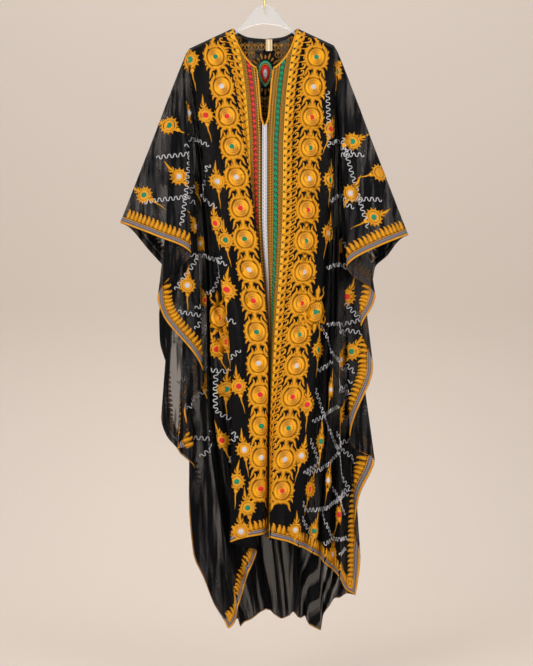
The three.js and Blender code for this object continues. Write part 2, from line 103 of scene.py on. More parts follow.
# %% [markdown]
# ## Camera, light and room
# The camera looks level at the middle of the garment from four metres away, so the folds
# keep their true widths. A curved sheet of warm paper serves as floor and backdrop: with no
# corner in it there is no line behind the cloth. From behind the paper is clear, so that the
# back of the garment can be looked at too. Large soft lamps on both sides keep the gold
# bright and let the black folds stay soft.


# %% Camera
lens = bpy.data.cameras.new("camera")
lens.sensor_width, lens.lens = 36, 86.5
camera = add_object("camera", lens, location=(0.00375, -4.0, -0.8925),
                    rotation_euler=(math.pi / 2, 0, 0))
scene.camera = camera
scene.view_settings.view_transform = "Standard"
print("camera at", tuple(camera.location), "lens", lens.lens)


# %% Lights
def soft_lamp(name, place, target, size, power):
    data = bpy.data.lights.new(name, "AREA")
    data.shape = "RECTANGLE"
    data.size, data.size_y = size
    data.energy, data.color = power, (1, 0.97, 0.93)
    turn = (Vector(target) - Vector(place)).to_track_quat("-Z", "Y").to_euler()
    add_object(name, data, location=place, rotation_euler=turn)


middle = (0, 0, -0.85)
soft_lamp("key", (-1.9, -2.6, 0.5), middle, (1.6, 2.0), 44)
soft_lamp("fill", (2.2, -2.4, -0.3), middle, (1.6, 2.4), 30)
soft_lamp("backdrop_light", (0, 1.7, 2.1), (0, 1.3, -1.8), (2.4, 0.4), 50)
world = bpy.data.worlds.new("studio")
world.use_nodes = True
sky = world.node_tree.nodes["Background"].inputs
sky["Color"].default_value, sky["Strength"].default_value = (0.84, 0.82, 0.80, 1), 0.66
scene.world = world


# %% Backdrop
def paper_sweep():
    """Floor and wall in one sheet of paper, curved between them and clear from behind."""
    profile = [(-4.5, -1.8), (0.6, -1.8)]
    for degrees in range(0, 91, 6):
        a = math.radians(degrees)
        profile.append((0.9 + 1.0 * math.sin(a), -0.8 - 1.0 * math.cos(a)))
    profile.append((1.9, 2.4))
    verts = [(x, y, z) for y, z in profile for x in (-4.5, 4.5)]
    faces = [(2 * i, 2 * i + 1, 2 * i + 3, 2 * i + 2) for i in range(len(profile) - 1)]
    mesh = bpy.data.meshes.new("backdrop")
    mesh.from_pydata(verts, [], faces)
    mesh.shade_smooth()
    paper = bpy.data.materials.new("warm paper")
    paper.use_nodes = True
    gloss = paper.node_tree.nodes["Principled BSDF"]
    gloss.inputs["Base Color"].default_value = (0.725, 0.65, 0.588, 1)
    gloss.inputs["Roughness"].default_value = 0.9
    side = make_node(paper.node_tree, "ShaderNodeNewGeometry")
    towards_garment = calc(paper.node_tree, "SUBTRACT", 1, side.outputs["Backfacing"])
    paper.node_tree.links.new(towards_garment, gloss.inputs["Alpha"])
    mesh.materials.append(paper)
    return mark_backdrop(add_object("backdrop", mesh))


paper_sweep()
print("backdrop ready")

# %% [markdown]
# ## The cut
# The thobe is two very wide sheets, front and back, joined along the top of the sleeves and
# down the sides. It could be draped by a cloth simulation, but a garment that gathers from
# the ends of a hanger makes folds that a maker can simply list. So the cut is kept as
# numbers, and the folds as tables with a row for each fold, in millimetres.
#
# Every thread that hangs keeps its flat length. On the body a thread is named by its place
# across the cut, u. On a wing the threads fan out from the end of the hanger's arm, and a
# thread is named by its angle below the cut's top edge.

# %% Sizes of the cut
NECK_HALF = 80
SHOULDER = {"left": 200, "right": 181}  # it hangs a little to the left
NECK_Z = -131
ARM_SLOPE = math.radians(25)
TURN = 18  # how far the wing's threads start round the end of the arm
ROLL = 9.5  # length that lies over the arm's edge
FOLD, LAY = 1.2, 7.5  # how far the cloth stands off at the top fold, and below the arm
ARM_END = {
    side: (NECK_HALF + (reach - NECK_HALF) * math.cos(ARM_SLOPE),
           NECK_Z - (reach - NECK_HALF) * math.sin(ARM_SLOPE))
    for side, reach in SHOULDER.items()
}
CUT = {
    "left": dict(reach=452, corner=1387, front=1240, back=1462),
    "right": dict(reach=493, corner=1289, front=1253, back=1475),
}
HEM_CENTRE = dict(front=1283, back=1484)
print("arms end at x, z:", {side: [round(w, 1) for w in end] for side, end in ARM_END.items()})

# %% Folds of the wings
# Rows: angle, x where the thread's end hangs, depth it tends to, sway high, sway low.
# Those of the side seam: angle, x, depth of the front cloth, depth of the back cloth, sways.
SIDE_SEAM = {
    "left": [
        (63.1, -220, 12, 20, 0, 6), (64.5, -176, 16, 24, 0, -8), (66.3, -191, 20, 29, 0, 2),
        (69.1, -180, 24, 33, 0, -2), (70.1, -154, 26, 37, 0, -10), (71.1, -128, 27, 38, 0, -6),
        (71.9, -94, 20, 38, 0, 0),
    ],
    "right": [
        (61.7, 275, 12, 21, 0, -10), (64.2, 236, 17, 27, 0, 4), (66.1, 225, 23, 33, 0, 8),
        (67.4, 240, 28, 38, 0, -4), (69.1, 228, 27, 41, 0, 0),
    ],
}


def sewn(side, face):
    depth = 2 if face == "front" else 3
    return [(row[0], row[1], row[depth], *row[4:]) for row in SIDE_SEAM[side]]


FANS = {
    ("left", "front"): [
        (0, -362, 0, 0, 0), (3, -353, -16, -3, -3), (14, -284, -58, -3, -2),
        (23.5, -202, -58, 0, 0), (27.6, -184, -44, 0, 0), (31, -196, -34, 0, 0),
        (43.8, -267, -22, 0, 0), (47, -256, -16, 0, 0), (57, -152, 1, 0, 0), (59.9, -204, 5, 0, 0),
        (61.7, -195, 8.5, 0, 0),
        *sewn("left", "front"),
        (73.2, -74, 4, 0, 0), (75.5, -66, -36, -4, -34), (78.5, -52, -12, 0, -30),
        (81.5, -40, -42, -6, -40), (84, -28, -24, -2, -18), (86.8, -20, -36, 0, 0),
    ],
    ("left", "back"): [
        (0, -362, 0, 0, 0), (3, -353, 16, -3, -3), (14, -332, 50, 0, 0), (25, -300, 66, 0, 0),
        (34, -254, 84, 0, 0), (40, -214, 82, 0, 0), (47, -268, 65, 0, 0), (51.8, -266, 57, 0, 0),
        (57, -242, 49, 0, 0), (60.8, -262, 40, 0, 0), (62.2, -248, 31, 0, 0),
        *sewn("left", "back"),
        (74, -89, 50, 0, 0), (77, -86, 66, 0, 0), (80, -82, 84, 0, 0), (83, -76, 62, 0, 0),
        (86.5, -69, 84, 0, 0),
    ],
    ("right", "front"): [
        (0, 358, 0, 0, 0), (3, 350, -16, 3, 3), (12.5, 290, -58, 3, 2), (22.6, 218, -58, 0, 0),
        (26.5, 203, -44, 0, 0), (29.6, 212, -34, 0, 0), (38.5, 275, -25, 0, 0),
        (40.9, 268, -19, 0, 0), (45.8, 240, -11, 0, 0), (52.4, 270, -4, 0, 0),
        (60.3, 212, 4, 0, 0),
        *sewn("right", "front"),
        (70.6, 204, 8, 0, -6), (72.3, 194, -22, 2, -2), (74.8, 184, -48, 4, 2),
        (77, 168, -20, 6, 4), (79.5, 148, -52, 8, 6), (82, 136, -24, 10, 8),
        (84.5, 118, -56, 12, 10), (87, 100, -36, 13, 12),
    ],
    ("right", "back"): [
        (0, 358, 0, 0, 0), (3, 350, 16, 3, 3), (12, 334, 44, 0, 0), (22, 311, 68, 0, 0),
        (27.5, 280, 84, 0, 0), (33.5, 272, 72, 0, 0), (42.9, 240, 62, 0, 0), (51.2, 262, 54, 0, 0),
        (57.5, 220, 45, 0, 0),
        *sewn("right", "back"),
        (72.5, 206, 66, 0, 0), (75.5, 190, 48, 0, 0), (78.5, 176, 78, 0, 0), (81.5, 162, 50, 0, 0),
        (86.5, 148, 86, 0, 0),
    ],
}
print("fold rows:", {"_".join(key): len(rows) for key, rows in FANS.items()})

# %% Folds of the body
# Rows: u, then x and depth at four drops down the cloth.
BODY_DROPS = dict(front=[450, 800, 1050, 1240], back=[450, 800, 1100, 1470])
BODY = {
    "front": [
        (-200, -132, -38, -84, -52, -83, -56, -88, -60),
        (-160, -96, -32, -47, -46, -46, -52, -50, -54),
        (-125, -58, -36, -16, -48, -8, -50, -14, -50), (-92, -27, -40, 7, -50, 5, -24, 4, -24),
        (-62, -38, -23, 3, -20, 0, -2, 0, -2), (-40, -29, -22, 0, -4, 0, 12, 0, 12),
        (-14, -14, -31, 7, 6, 8, 22, 8, 22), (0, -1, -31, 13, -10, 15, 8, 15, 10),
        (24, 22, -31, 15, -28, 14, -10, 14, -6), (45, 42, -31, 21, -42, 12, -28, 11, -24),
        (64, 58, -32, 33, -46, 15, -44, 11, -42), (95, 82, -36, 56, -50, 28, -58, 14, -62),
        (124, 103, -34, 78, -46, 48, -54, 32, -58), (152, 126, -32, 103, -44, 73, -48, 58, -50),
        (181, 149, -38, 124, -52, 98, -56, 82, -60),
    ],
    "back": [
        (-200, -144, 32, -110, 40, -82, 44, -62, 44), (-168, -122, 34, -92, 62, -68, 68, -50, 38),
        (-135, -100, 27, -80, 36, -56, 38, -28, 62), (-100, -74, 33, -52, 60, -36, 68, -8, 92),
        (-66, -50, 27, -40, 36, -26, 38, 12, 94), (-33, -24, 33, -12, 58, -4, 68, 26, 72),
        (0, 0, 28, -2, 36, 6, 38, 42, 36), (33, 26, 33, 24, 58, 32, 68, 58, 60),
        (66, 52, 27, 34, 36, 42, 38, 72, 92), (96, 77, 33, 62, 60, 70, 68, 84, 40),
        (124, 98, 27, 78, 36, 84, 38, 102, 96), (153, 120, 34, 102, 60, 110, 68, 114, 38),
        (181, 142, 32, 120, 40, 128, 44, 140, 38),
    ],
}
# How far below the shoulder's neck point each thread starts: u, drop.
NECK = {
    "front": [
        (0, 243), (6, 228), (12, 168), (18, 100), (26, 96), (45, 78), (62, 52), (74, 18), (77, 7),
        (80, 0),
    ],
    "back": [
        (0, 25), (40, 21), (66, 10), (80, 0),
    ],
}
print("body fold rows:", len(BODY["front"]), len(BODY["back"]))

# %% [markdown]
# ## From the tables to hanging threads
# Between its rows a table is read with a smooth curve that never swings past a row, so that
# a fold's ridge stays where its row puts it. A spline through the same rows would be easier
# to write, but it overshoots at every sharp fold. The drop of each thread then follows from
# its length: what it spends going sideways, it no longer has for going down.


# %% Reading a table
def curve(keys, values, at):
    """Cubic through the rows, level at every row where the values turn back."""
    keys = np.asarray(keys, float)
    at = np.clip(at, keys[0], keys[-1])
    values = np.asarray(values, float)
    if values.ndim == 1:
        values = values.reshape((-1,) + (1,) * at.ndim)
    values = np.broadcast_to(values, (len(keys),) + at.shape)
    span = np.diff(keys).reshape((-1,) + (1,) * at.ndim)
    slope = np.diff(values, axis=0) / span
    a, b = slope[:-1], slope[1:]
    weight_a, weight_b = 2 * span[1:] + span[:-1], span[1:] + 2 * span[:-1]
    on = a * b > 0
    below = weight_a / np.where(on, a, 1) + weight_b / np.where(on, b, 1)
    inner = np.where(on, (weight_a + weight_b) / np.where(on, below, 1), 0)
    tangent = np.concatenate([slope[:1], inner, slope[-1:]])
    i = np.clip(np.searchsorted(keys, at) - 1, 0, len(keys) - 2)
    h = np.diff(keys)[i]
    t = (at - keys[i]) / h

    def pick(block):
        return np.take_along_axis(np.broadcast_to(block, block.shape), i[None], 0)[0]

    return (
        pick(values[:-1]) * (1 + 2 * t) * (1 - t) ** 2
        + pick(tangent[:-1]) * h * t * (1 - t) ** 2
        + pick(values[1:]) * t * t * (3 - 2 * t)
        + pick(tangent[1:]) * h * t * t * (t - 1)
    )


def running(line):
    """How far along a line each of its points is."""
    return np.concatenate([[0], np.cumsum(np.linalg.norm(np.diff(line, axis=0), axis=1))])


def interpolated(keys, rows, at):
    return np.stack([np.interp(at, keys, values) for values in np.transpose(rows)], axis=1)


def resampled(line, at):
    """The points of a line at the given distances along it."""
    return interpolated(running(line), line, at)


def column(table, number):
    return [row[number] for row in table]


def mix(a, b, t):
    return a + (b - a) * t


def ease(start, end, at):
    t = np.clip((np.asarray(at, float) - start) / (end - start), 0, 1)
    return t * t * (3 - 2 * t)


print("halfway between two rows:", float(curve([0, 1, 2], [0, 5, 5], np.array(0.5))))


# %% Where a thread hangs
SIGN = {"left": -1, "right": 1}  # which way along x
AWAY = {"front": -1, "back": 1}  # which way along y
SETTLES = (20, 170)  # lengths from the arm over which a wing's folds take shape
OPENS = 60  # length over which cloth comes away from the arm
HANGS_FREE = 500  # and the length that it takes to hang at its full depth
SWAYS_AT = [0, 0.35, 0.7, 1]  # shares of a thread at which its sway is given


def shoulder_x(u):
    past = np.maximum(0, np.abs(u) - NECK_HALF)
    return np.sign(u) * (np.minimum(np.abs(u), NECK_HALF) + past * math.cos(ARM_SLOPE))


def shoulder_z(u):
    return NECK_Z - np.maximum(0, np.abs(u) - NECK_HALF) * math.sin(ARM_SLOPE)


def body_place(face, u, v):
    """x and depth of the body's threads u at the drops v."""
    rows, drops = BODY[face], [0, *BODY_DROPS[face]]
    us = column(rows, 0)

    def across(first, top):
        each = [curve(drops, [top(row[0]), *row[first::2]], v) for row in rows]
        return curve(us, np.array(each), np.broadcast_to(u, v.shape))

    x = across(1, lambda at: float(shoulder_x(at)))
    y = across(2, lambda at: AWAY[face] * LAY)
    return mix(shoulder_x(u), x, ease(0, OPENS, v)), y


def body_length(face, u):
    cut = np.where(u < 0, CUT["left"][face], CUT["right"][face])
    shoulder = np.where(u < 0, SHOULDER["left"], SHOULDER["right"])
    return mix(HEM_CENTRE[face], cut, ease(0, 1, np.abs(u) / shoulder))


def wing_length(side, face, angle):
    """Length of a wing's thread, from the arm's end to the cuff or to the hem."""
    cut = CUT[side]
    a = np.radians(angle)
    slope = (cut["corner"] - cut[face]) / cut["reach"]
    to_hem = np.abs(cut[face] / (np.sin(a) - slope * np.cos(a)))
    to_cuff = cut["reach"] / np.maximum(np.cos(a), 1e-6)
    return np.where(angle < 40, to_cuff, np.minimum(to_cuff, to_hem))


def wing_place(side, face, angle, r):
    """x and depth of a wing's threads at the lengths r."""
    sign, away, fan = SIGN[side], AWAY[face], FANS[side, face]
    angles = [*column(fan, 0), 90]
    s = r / wing_length(side, face, angle)
    start_x = sign * (ARM_END[side][0] + TURN * 0.5 * (1 - angle / 90))
    start_y = away * mix(FOLD, LAY, np.minimum(1, angle / 14))
    edge = body_place(face, np.full_like(angle, sign * SHOULDER[side]), s * CUT[side][face])
    open_by = ease(0, OPENS, r) * (1 - np.exp(-r / HANGS_FREE))
    spread = np.broadcast_to(angle, r.shape)
    xs = [
        mix(start_x, row[1], s) + curve(SWAYS_AT, [0, row[3], row[4], 0], s)
        for row in fan
    ]
    ys = [mix(start_y, row[2], open_by) for row in fan]
    folded_x = curve(angles, np.array([*xs, edge[0]]), spread)
    folded_y = curve(angles, np.array([*ys, edge[1]]), spread)
    lean = math.asin((abs(fan[0][1]) - ARM_END[side][0]) / CUT[side]["reach"])
    top_x = sign * (ARM_END[side][0] + TURN * 0.5 + r * math.sin(lean))
    plain_x = mix(top_x, edge[0], angle / 90)
    over_arm = np.minimum(1, r / ROLL)
    return mix(plain_x, folded_x, ease(*SETTLES, r)), mix(away * FOLD, folded_y, over_arm)


print("left cuff's lowest thread:", round(float(wing_length("left", "front", np.array(71.9)))))


# %% How far down it comes
STEPS, CROWDING = 120, 1.5  # steps along a thread, closer together near its top


def hang(place, start, length, lengths):
    """Points of threads at the given lengths, as long on the hanger as on the cut."""
    run = length * (np.arange(STEPS + 1) / STEPS) ** CROWDING
    x, y = place(run)
    step = np.diff(run, axis=1)
    across = np.hypot(np.diff(x, axis=1), np.diff(y, axis=1))
    fall = np.sqrt(np.maximum(step**2 - across**2, step**2 * 0.1))
    z = start - np.concatenate([np.zeros_like(start), np.cumsum(fall, axis=1)], axis=1)
    at = STEPS * np.clip(lengths / length, 0, 1 - 1e-9) ** (1 / CROWDING)
    i = np.floor(at).astype(int)
    low, high = np.take_along_axis(run, i, 1), np.take_along_axis(run, i + 1, 1)
    t = (lengths - low) / (high - low)
    return np.stack(
        [mix(np.take_along_axis(w, i, 1), np.take_along_axis(w, i + 1, 1), t) for w in (x, y, z)],
        axis=2,
    )


SHARES = np.linspace(0, 1, 76)[1:-1] ** 1.12  # rows of the finished cloth along a thread


def wing_threads(side, face, angles):
    angle = np.array(angles, float)[:, None]
    length = wing_length(side, face, angle)
    lengths = np.concatenate([0 * length, ROLL + SHARES * (length - ROLL), length], axis=1)
    start = ARM_END[side][1] - TURN * 0.8 * (1 - angle / 90)
    points = hang(lambda r: wing_place(side, face, angle, r), start, length, lengths)
    return points, lengths


def body_threads(face, us):
    u = np.array(us, float)[:, None]
    length = body_length(face, u)
    neck = np.abs(u) < NECK_HALF
    drop = curve(column(NECK[face], 0), column(NECK[face], 1), np.abs(u))
    top = np.where(neck, drop, 0)

    def place(v):
        x, y = body_place(face, u, v)
        return x, np.where(neck, y, mix(AWAY[face] * FOLD, y, np.minimum(1, v / ROLL)))

    first = np.where(neck, top, top + ROLL)
    lengths = np.concatenate([top, first + SHARES * (length - first), length], axis=1)
    return hang(place, shoulder_z(u), length, lengths), lengths


print("rows along a thread:", len(SHARES) + 2)

# %% [markdown]
# ## Two sheets as grids
# Each sheet becomes a grid of threads and rows, much finer than the CAD's. Beside its place
# in the room, every point keeps its place in the flat cut. On the wings that place is found
# by unrolling: the angle between two neighbouring threads is the distance that the folds
# left between them, over their length. So a motif that is round on the cut is round on the
# hung cloth too.


# %% The grids
def wing_angles(side, face):
    keys = [*column(FANS[side, face], 0), 90]
    out = []
    for a, b in zip(keys, keys[1:]):
        reach = float(wing_length(side, face, np.array((a + b) / 2)))
        n = max(3, math.ceil(math.radians(b - a) * reach / 8))
        out += [a + (b - a) * k / n for k in range(n)]
    return out


BODY_US = np.unique(np.concatenate([np.arange(-195, 177, 5), [-77, 77]])).tolist()


def gaps(points):
    """Clear distance across the cloth between neighbouring threads, row by row."""
    away = np.diff(points, axis=0)
    along = np.gradient(points, axis=1)[:-1]
    along /= np.maximum(np.linalg.norm(along, axis=2, keepdims=True), 1e-9)
    away -= (away * along).sum(2, keepdims=True) * along
    return np.linalg.norm(away, axis=2)


LOWER_ROWS = slice(24, 72)  # rows where a wing's folds have taken shape


def unrolled(points, lengths):
    """Angle below the top edge of each thread of a wing, counted back from the panel."""
    r = (lengths[1:] + lengths[:-1]) / 2
    turn = (gaps(points) * r)[:, LOWER_ROWS].sum(1) / (r[:, LOWER_ROWS] ** 2).sum(1)
    return math.pi / 2 - np.concatenate([np.cumsum(turn[::-1])[::-1], [0]])


def sheet_grid(face):
    """Columns from the left cuff's top edge to the right one's: part, place, points, cut."""
    us = [-SHOULDER["left"], *BODY_US, SHOULDER["right"]]
    body, drops = body_threads(face, us)
    across = np.concatenate([np.zeros((1, drops.shape[1])), np.cumsum(gaps(body), axis=0)])
    across -= across[us.index(0)]
    down = drops + NECK_Z - shoulder_z(np.array(us, float))[:, None]
    middle = [
        ("body", u, body[k], np.stack([across[k], down[k]], axis=1)) for k, u in enumerate(us)
    ]
    wings = {}
    for (side, sign), edge in zip(SIGN.items(), (0, -1)):
        angles = [*wing_angles(side, face), 90]
        points, lengths = wing_threads(side, face, angles)
        a = unrolled(points, lengths)[:, None]
        start = np.interp(lengths, drops[edge], np.abs(across[edge]))
        fall = NECK_Z - shoulder_z(SHOULDER[side])
        flat = np.stack([sign * (start + lengths * np.cos(a)), fall + lengths * np.sin(a)], axis=2)
        wings[side] = [
            (side, angle, points[k], flat[k]) for k, angle in enumerate(angles[:-1])
        ]
    return [*wings["left"], *middle, *wings["right"][::-1]]


GRID = {face: sheet_grid(face) for face in ("front", "back")}
print("columns:", {face: len(grid) for face, grid in GRID.items()})


def on_sheet(face, u, v):
    """Place on the unrolled sheet of the body's thread u at the drop v."""
    u, v = np.broadcast_arrays(np.array(u, float), np.array(v, float))
    down = v + NECK_Z - shoulder_z(u)
    body = [c for c in GRID[face] if c[0] == "body"]
    us = np.array([c[1] for c in body], float)
    k = np.clip(np.searchsorted(us, u.ravel()) - 1, 0, len(us) - 2)
    x = np.zeros(u.size)
    for i in np.unique(k):
        mine = k == i
        low, high = (np.interp(down.ravel()[mine], body[n][3][:, 1], body[n][3][:, 0])
                     for n in (i, i + 1))
        x[mine] = mix(low, high, (u.ravel()[mine] - us[i]) / (us[i + 1] - us[i]))
    return x.reshape(u.shape), down


print("the thread u = 126 stands at", on_sheet("front", 126, [100, 600, 1100])[0].round(1))

# %% [markdown]
# ## Small creases
# Chiffon never hangs in broad folds alone. Between the folds run soft shallow troughs and
# ridges, each with its own place and length. A noise texture would spread them evenly, which
# cloth doesn't do, so the ones that count are listed and pressed into the grids.

# %% Creases
# Rows: part, place (u, or the thread's angle), half width, depth, where it starts and ends.
CREASES = {
    "front": [
        ("body", -178, 7, 5, 0.02, 0.55), ("body", -142, 6, -4, 0.05, 0.7),
        ("body", -108, 5, 4, 0.1, 0.5), ("body", -78, 5, -4, 0.22, 0.6),
        ("body", 84, 5, -4, 0.14, 0.65), ("body", 112, 6, 4, 0.04, 0.75),
        ("body", 148, 6, -5, 0.02, 0.6), ("body", 168, 6, 4, 0.1, 0.8),
        ("left", 9, 1.6, 4, 0.1, 0.9), ("left", 19, 1.4, -5, 0.15, 1.0),
        ("left", 37, 1.6, 4, 0.2, 1.0), ("left", 52, 1.2, -3, 0.2, 0.9),
        ("left", 74.6, 0.5, 3, 0.2, 0.8), ("left", 77, 0.5, -4, 0.3, 1.0),
        ("left", 82.6, 0.5, 4, 0.1, 0.9), ("right", 8, 1.5, 4, 0.1, 0.9),
        ("right", 19, 1.4, -5, 0.15, 1.0), ("right", 36, 1.2, 4, 0.2, 1.0),
        ("right", 57, 1.0, -3, 0.3, 1.0), ("right", 73.6, 0.4, 3, 0.2, 0.8),
        ("right", 78.2, 0.5, -4, 0.1, 0.9), ("right", 83.3, 0.5, 4, 0.2, 1.0),
    ],
    "back": [
        ("body", -120, 6, 4, 0.05, 0.6), ("body", -50, 6, -4, 0.1, 0.8),
        ("body", 48, 6, 4, 0.04, 0.7), ("body", 118, 6, -4, 0.1, 0.9),
        ("left", 9, 1.6, -4, 0.1, 0.9), ("left", 21, 1.6, 5, 0.2, 1.0),
        ("left", 33, 1.6, -4, 0.2, 1.0), ("left", 78.6, 0.5, 4, 0.2, 0.9),
        ("right", 10, 1.6, 4, 0.1, 0.9), ("right", 22, 1.6, -5, 0.2, 1.0),
        ("right", 40, 1.2, 4, 0.2, 1.0), ("right", 77, 0.5, 4, 0.2, 0.9),
    ],
}


def press_creases(face):
    s = np.linspace(0, 1, len(SHARES) + 2)
    for part, place, half, depth, start, end in CREASES[face]:
        strength = ease(start, start + 0.2, s) * (1 - 0.8 * ease(end - 0.2, end, s))
        for kind, at, points, _ in GRID[face]:
            if kind == part and abs(at - place) < 3 * half:
                crease = depth * math.exp(-(((at - place) / half) ** 2)) * strength
                points[:, 1] += AWAY[face] * crease


for face in GRID:
    press_creases(face)
print("creases pressed:", {face: len(rows) for face, rows in CREASES.items()})

# %% [markdown]
# ## Cloth with two sides
# A single surface would be quicker, but a real sheet has a face and a back, and glass-like
# shading counts the walls that light goes through. Every piece is a closed shell half a
# millimetre thick, cut along the maker's seams: two sleeves, four side gores, two panels.


# %% A shell from columns
def outward(points):
    """Unit normals of a grid of columns and rows, away from the wearer."""
    across = np.gradient(points, axis=0)
    down = np.gradient(points, axis=1)
    down /= np.maximum(np.linalg.norm(down, axis=2, keepdims=True), 1e-9)
    step = across - (across * down).sum(2, keepdims=True) * down
    step /= np.maximum(np.linalg.norm(step, axis=2, keepdims=True), 1e-9)
    return np.cross(down, step)


def new_object(name, verts, faces, uvs, uv_name="Cut", material=None):
    mesh = bpy.data.meshes.new(name)
    mesh.from_pydata(np.asarray(verts).tolist(), [], [tuple(face) for face in faces])
    layer = mesh.uv_layers.new(name=uv_name)
    corner = np.zeros(len(mesh.loops), int)
    mesh.loops.foreach_get("vertex_index", corner)
    layer.data.foreach_set("uv", np.asarray(uvs)[corner].ravel())
    if material:
        mesh.materials.append(material)
    mesh.shade_smooth()
    return add_object(name, mesh)


def grid_faces(n, m):
    """Corner numbers of the faces of n columns of m points, and of their rim in order."""
    grid = np.arange(n * m).reshape(n, m)
    faces = np.stack([grid[:-1, :-1], grid[:-1, 1:], grid[1:, 1:], grid[1:, :-1]], axis=-1)
    rim = np.concatenate([grid[0, :], grid[1:, -1], grid[-1, -2::-1], grid[-2:0:-1, 0]])
    return faces.reshape(-1, 4), rim


def wall_faces(n, m, flipped=False):
    """Faces of a closed wall: a grid, the same grid behind it, and the rim between them."""
    front, rim = grid_faces(n, m)
    after = np.roll(rim, -1)
    edge = np.stack([after, rim, rim + n * m, after + n * m], axis=-1)
    if flipped:
        front, edge = front[:, [0, 3, 2, 1]], edge[:, [1, 0, 3, 2]]
    return np.concatenate([front, front[:, ::-1] + n * m, edge])


CLOTH_WALL = 0.5


def shell(name, points, normals, flat, material):
    """A closed thin wall over a grid; the cut's coordinates become its UV map, in metres."""
    half = normals * CLOTH_WALL / 2
    verts = np.concatenate([(points + half).reshape(-1, 3), (points - half).reshape(-1, 3)]) * MM
    uvs = np.tile(flat.reshape(-1, 2), (2, 1)) * MM
    return new_object(name, verts, wall_faces(*points.shape[:2]).tolist(), uvs, material=material)


def stacked(columns):
    return np.array([c[2] for c in columns]), np.array([c[3] for c in columns])


print("wall of the cloth:", CLOTH_WALL, "mm")

# %% [markdown]
# ## Finishes
# Chiffon is a plain weave of very fine crimped yarn: almost black where it is doubled, and a
# smoky brown where one layer hangs in front of the light. A see-through shader is chosen
# over real holes, which would be far too small to draw. The two walls of each shell share
# the covering between them, and broad noise along the threads thins it where folds open.
# The same noise paints grey streaks of sheen highlight into the black colour.


# %% Helpers for finishes
def finish(name, colour, roughness, metallic=0.0, **sockets):
    """A Principled material; a plain value is set on its own socket."""
    material = bpy.data.materials.new(name)
    material.use_nodes = True
    sockets.update(Base_Color=(*colour, 1), Roughness=roughness, Metallic=metallic)
    for label, value in sockets.items():
        socket = material.node_tree.nodes["Principled BSDF"].inputs[label.replace("_", " ")]
        socket.default_value = value
    return material


def wire(material, **sockets):
    """Links outputs to the Principled shader's own sockets."""
    shader = material.node_tree.nodes["Principled BSDF"]
    for label, output in sockets.items():
        material.node_tree.links.new(output, shader.inputs[label.replace("_", " ")])
    return material


def node_group(name, inputs, **outputs):
    """A shader group with named sockets, and the outputs of its input node."""
    group = bpy.data.node_groups.new(name, "ShaderNodeTree")
    for way, sockets in (("INPUT", inputs), ("OUTPUT", outputs)):
        for label, kind in sockets.items():
            group.interface.new_socket(label, in_out=way, socket_type=f"NodeSocket{kind}")
    return group, make_node(group, "NodeGroupInput").outputs


def covered(material, group, values, strength, distance):
    """Gives a material the colour and relief of a group, with the group's values set."""
    tree = material.node_tree
    look = make_node(tree, "ShaderNodeGroup", values, node_tree=group).outputs
    relief = dict(Strength=strength, Distance=distance, Height=look["Height"])
    bump = make_node(tree, "ShaderNodeBump", relief)
    if "Alpha" in look:
        wire(material, Alpha=look["Alpha"])
    return wire(material, Base_Color=look["Colour"], Normal=bump.outputs["Normal"])


def object_texture(tree, kind, inputs, **settings):
    """A texture laid out by the object's own coordinates."""
    place = make_node(tree, "ShaderNodeTexCoord").outputs["Object"]
    return make_node(tree, kind, {"Vector": place, **inputs}, **settings).outputs["Fac"]


print("finishes can be made")


# %% The weave of the chiffon
def weave_group():
    """Covering, painted sheen and bump of a crimped weave with gathers, from the cut's
    coordinates.
    """
    group, given = node_group(
        "chiffon weave",
        dict(Covering="Float", Gathers="Float", Folds="Float", Black="Color", Painted_Sheen_Grey="Color"),
        Alpha="Float", Colour="Color", Height="Float",
    )
    do = partial(calc, group)
    cut = make_node(group, "ShaderNodeUVMap", uv_map="Cut").outputs["UV"]
    hung = make_node(group, "ShaderNodeTexCoord").outputs["Object"]

    def noise(place, scale, detail, stretch=(1, 1, 1)):
        fit = make_node(group, "ShaderNodeMapping", {"Vector": place, "Scale": stretch})
        inputs = {"Vector": fit.outputs["Vector"], "Scale": scale, "Detail": detail}
        return make_node(group, "ShaderNodeTexNoise", inputs).outputs["Fac"]

    gathers, folds = noise(hung, 9, 2, (9, 3, 0.7)), noise(cut, 4, 2, (8, 0.5, 1))
    crimp = noise(cut, 900, 1)
    fine = do("MULTIPLY", do("SUBTRACT", gathers, 0.5), given["Gathers"])
    wide = do("MULTIPLY", do("SUBTRACT", folds, 0.5), given["Folds"])
    streak = do("MINIMUM", do("ADD", fine, wide), 0.17)
    open_by = do("MULTIPLY_ADD", crimp, 0.12, do("SUBTRACT", streak, 0.06))
    # painted sheen: where the streaks rise, the colour turns from black to the grey of a sheen
    # highlight
    light = do("MULTIPLY_ADD", streak, 4.0, 0.5)
    relief = do("MULTIPLY_ADD", gathers, 14.0, crimp)
    make_node(group, "NodeGroupOutput", dict(
        Alpha=do("MINIMUM", do("SUBTRACT", given["Covering"], open_by), 0.97),
        Colour=blended(group, light, given["Black"], given["Painted_Sheen_Grey"]),
        Height=do("MULTIPLY_ADD", folds, 10.0, relief),
    ))
    return group


# grey is the colour of the painted sheen highlights in each piece's streaks
def chiffon_finish(name, covering, gathers, folds, grey):
    material = finish(name, (0.006, 0.006, 0.007), 0.5, Sheen_Weight=0.02, Sheen_Roughness=0.4,
                      Specular_IOR_Level=0.05)
    values = dict(Covering=covering, Gathers=gathers, Folds=folds,
                  Black=(0.004, 0.004, 0.005, 1), Painted_Sheen_Grey=(grey, grey * 0.97, grey * 1.02, 1))
    return covered(material, WEAVE, values, 0.7, 0.0005)


WEAVE = weave_group()
CHIFFON = {
    "sleeve": chiffon_finish("chiffon of the sleeves", 0.62, 2.2, 0.6, 0.040),
    "gore": chiffon_finish("chiffon of the gores", 0.74, 0.6, 2.6, 0.010),
    "panel": chiffon_finish("chiffon of the panels", 0.87, 0.5, 2.8, 0.008),
}
print("finishes:", [m.name for m in CHIFFON.values()])

# %% [markdown]
# ## The eight pieces of cloth
# The pieces take their columns from the grids at the maker's seams, and meet edge to edge.

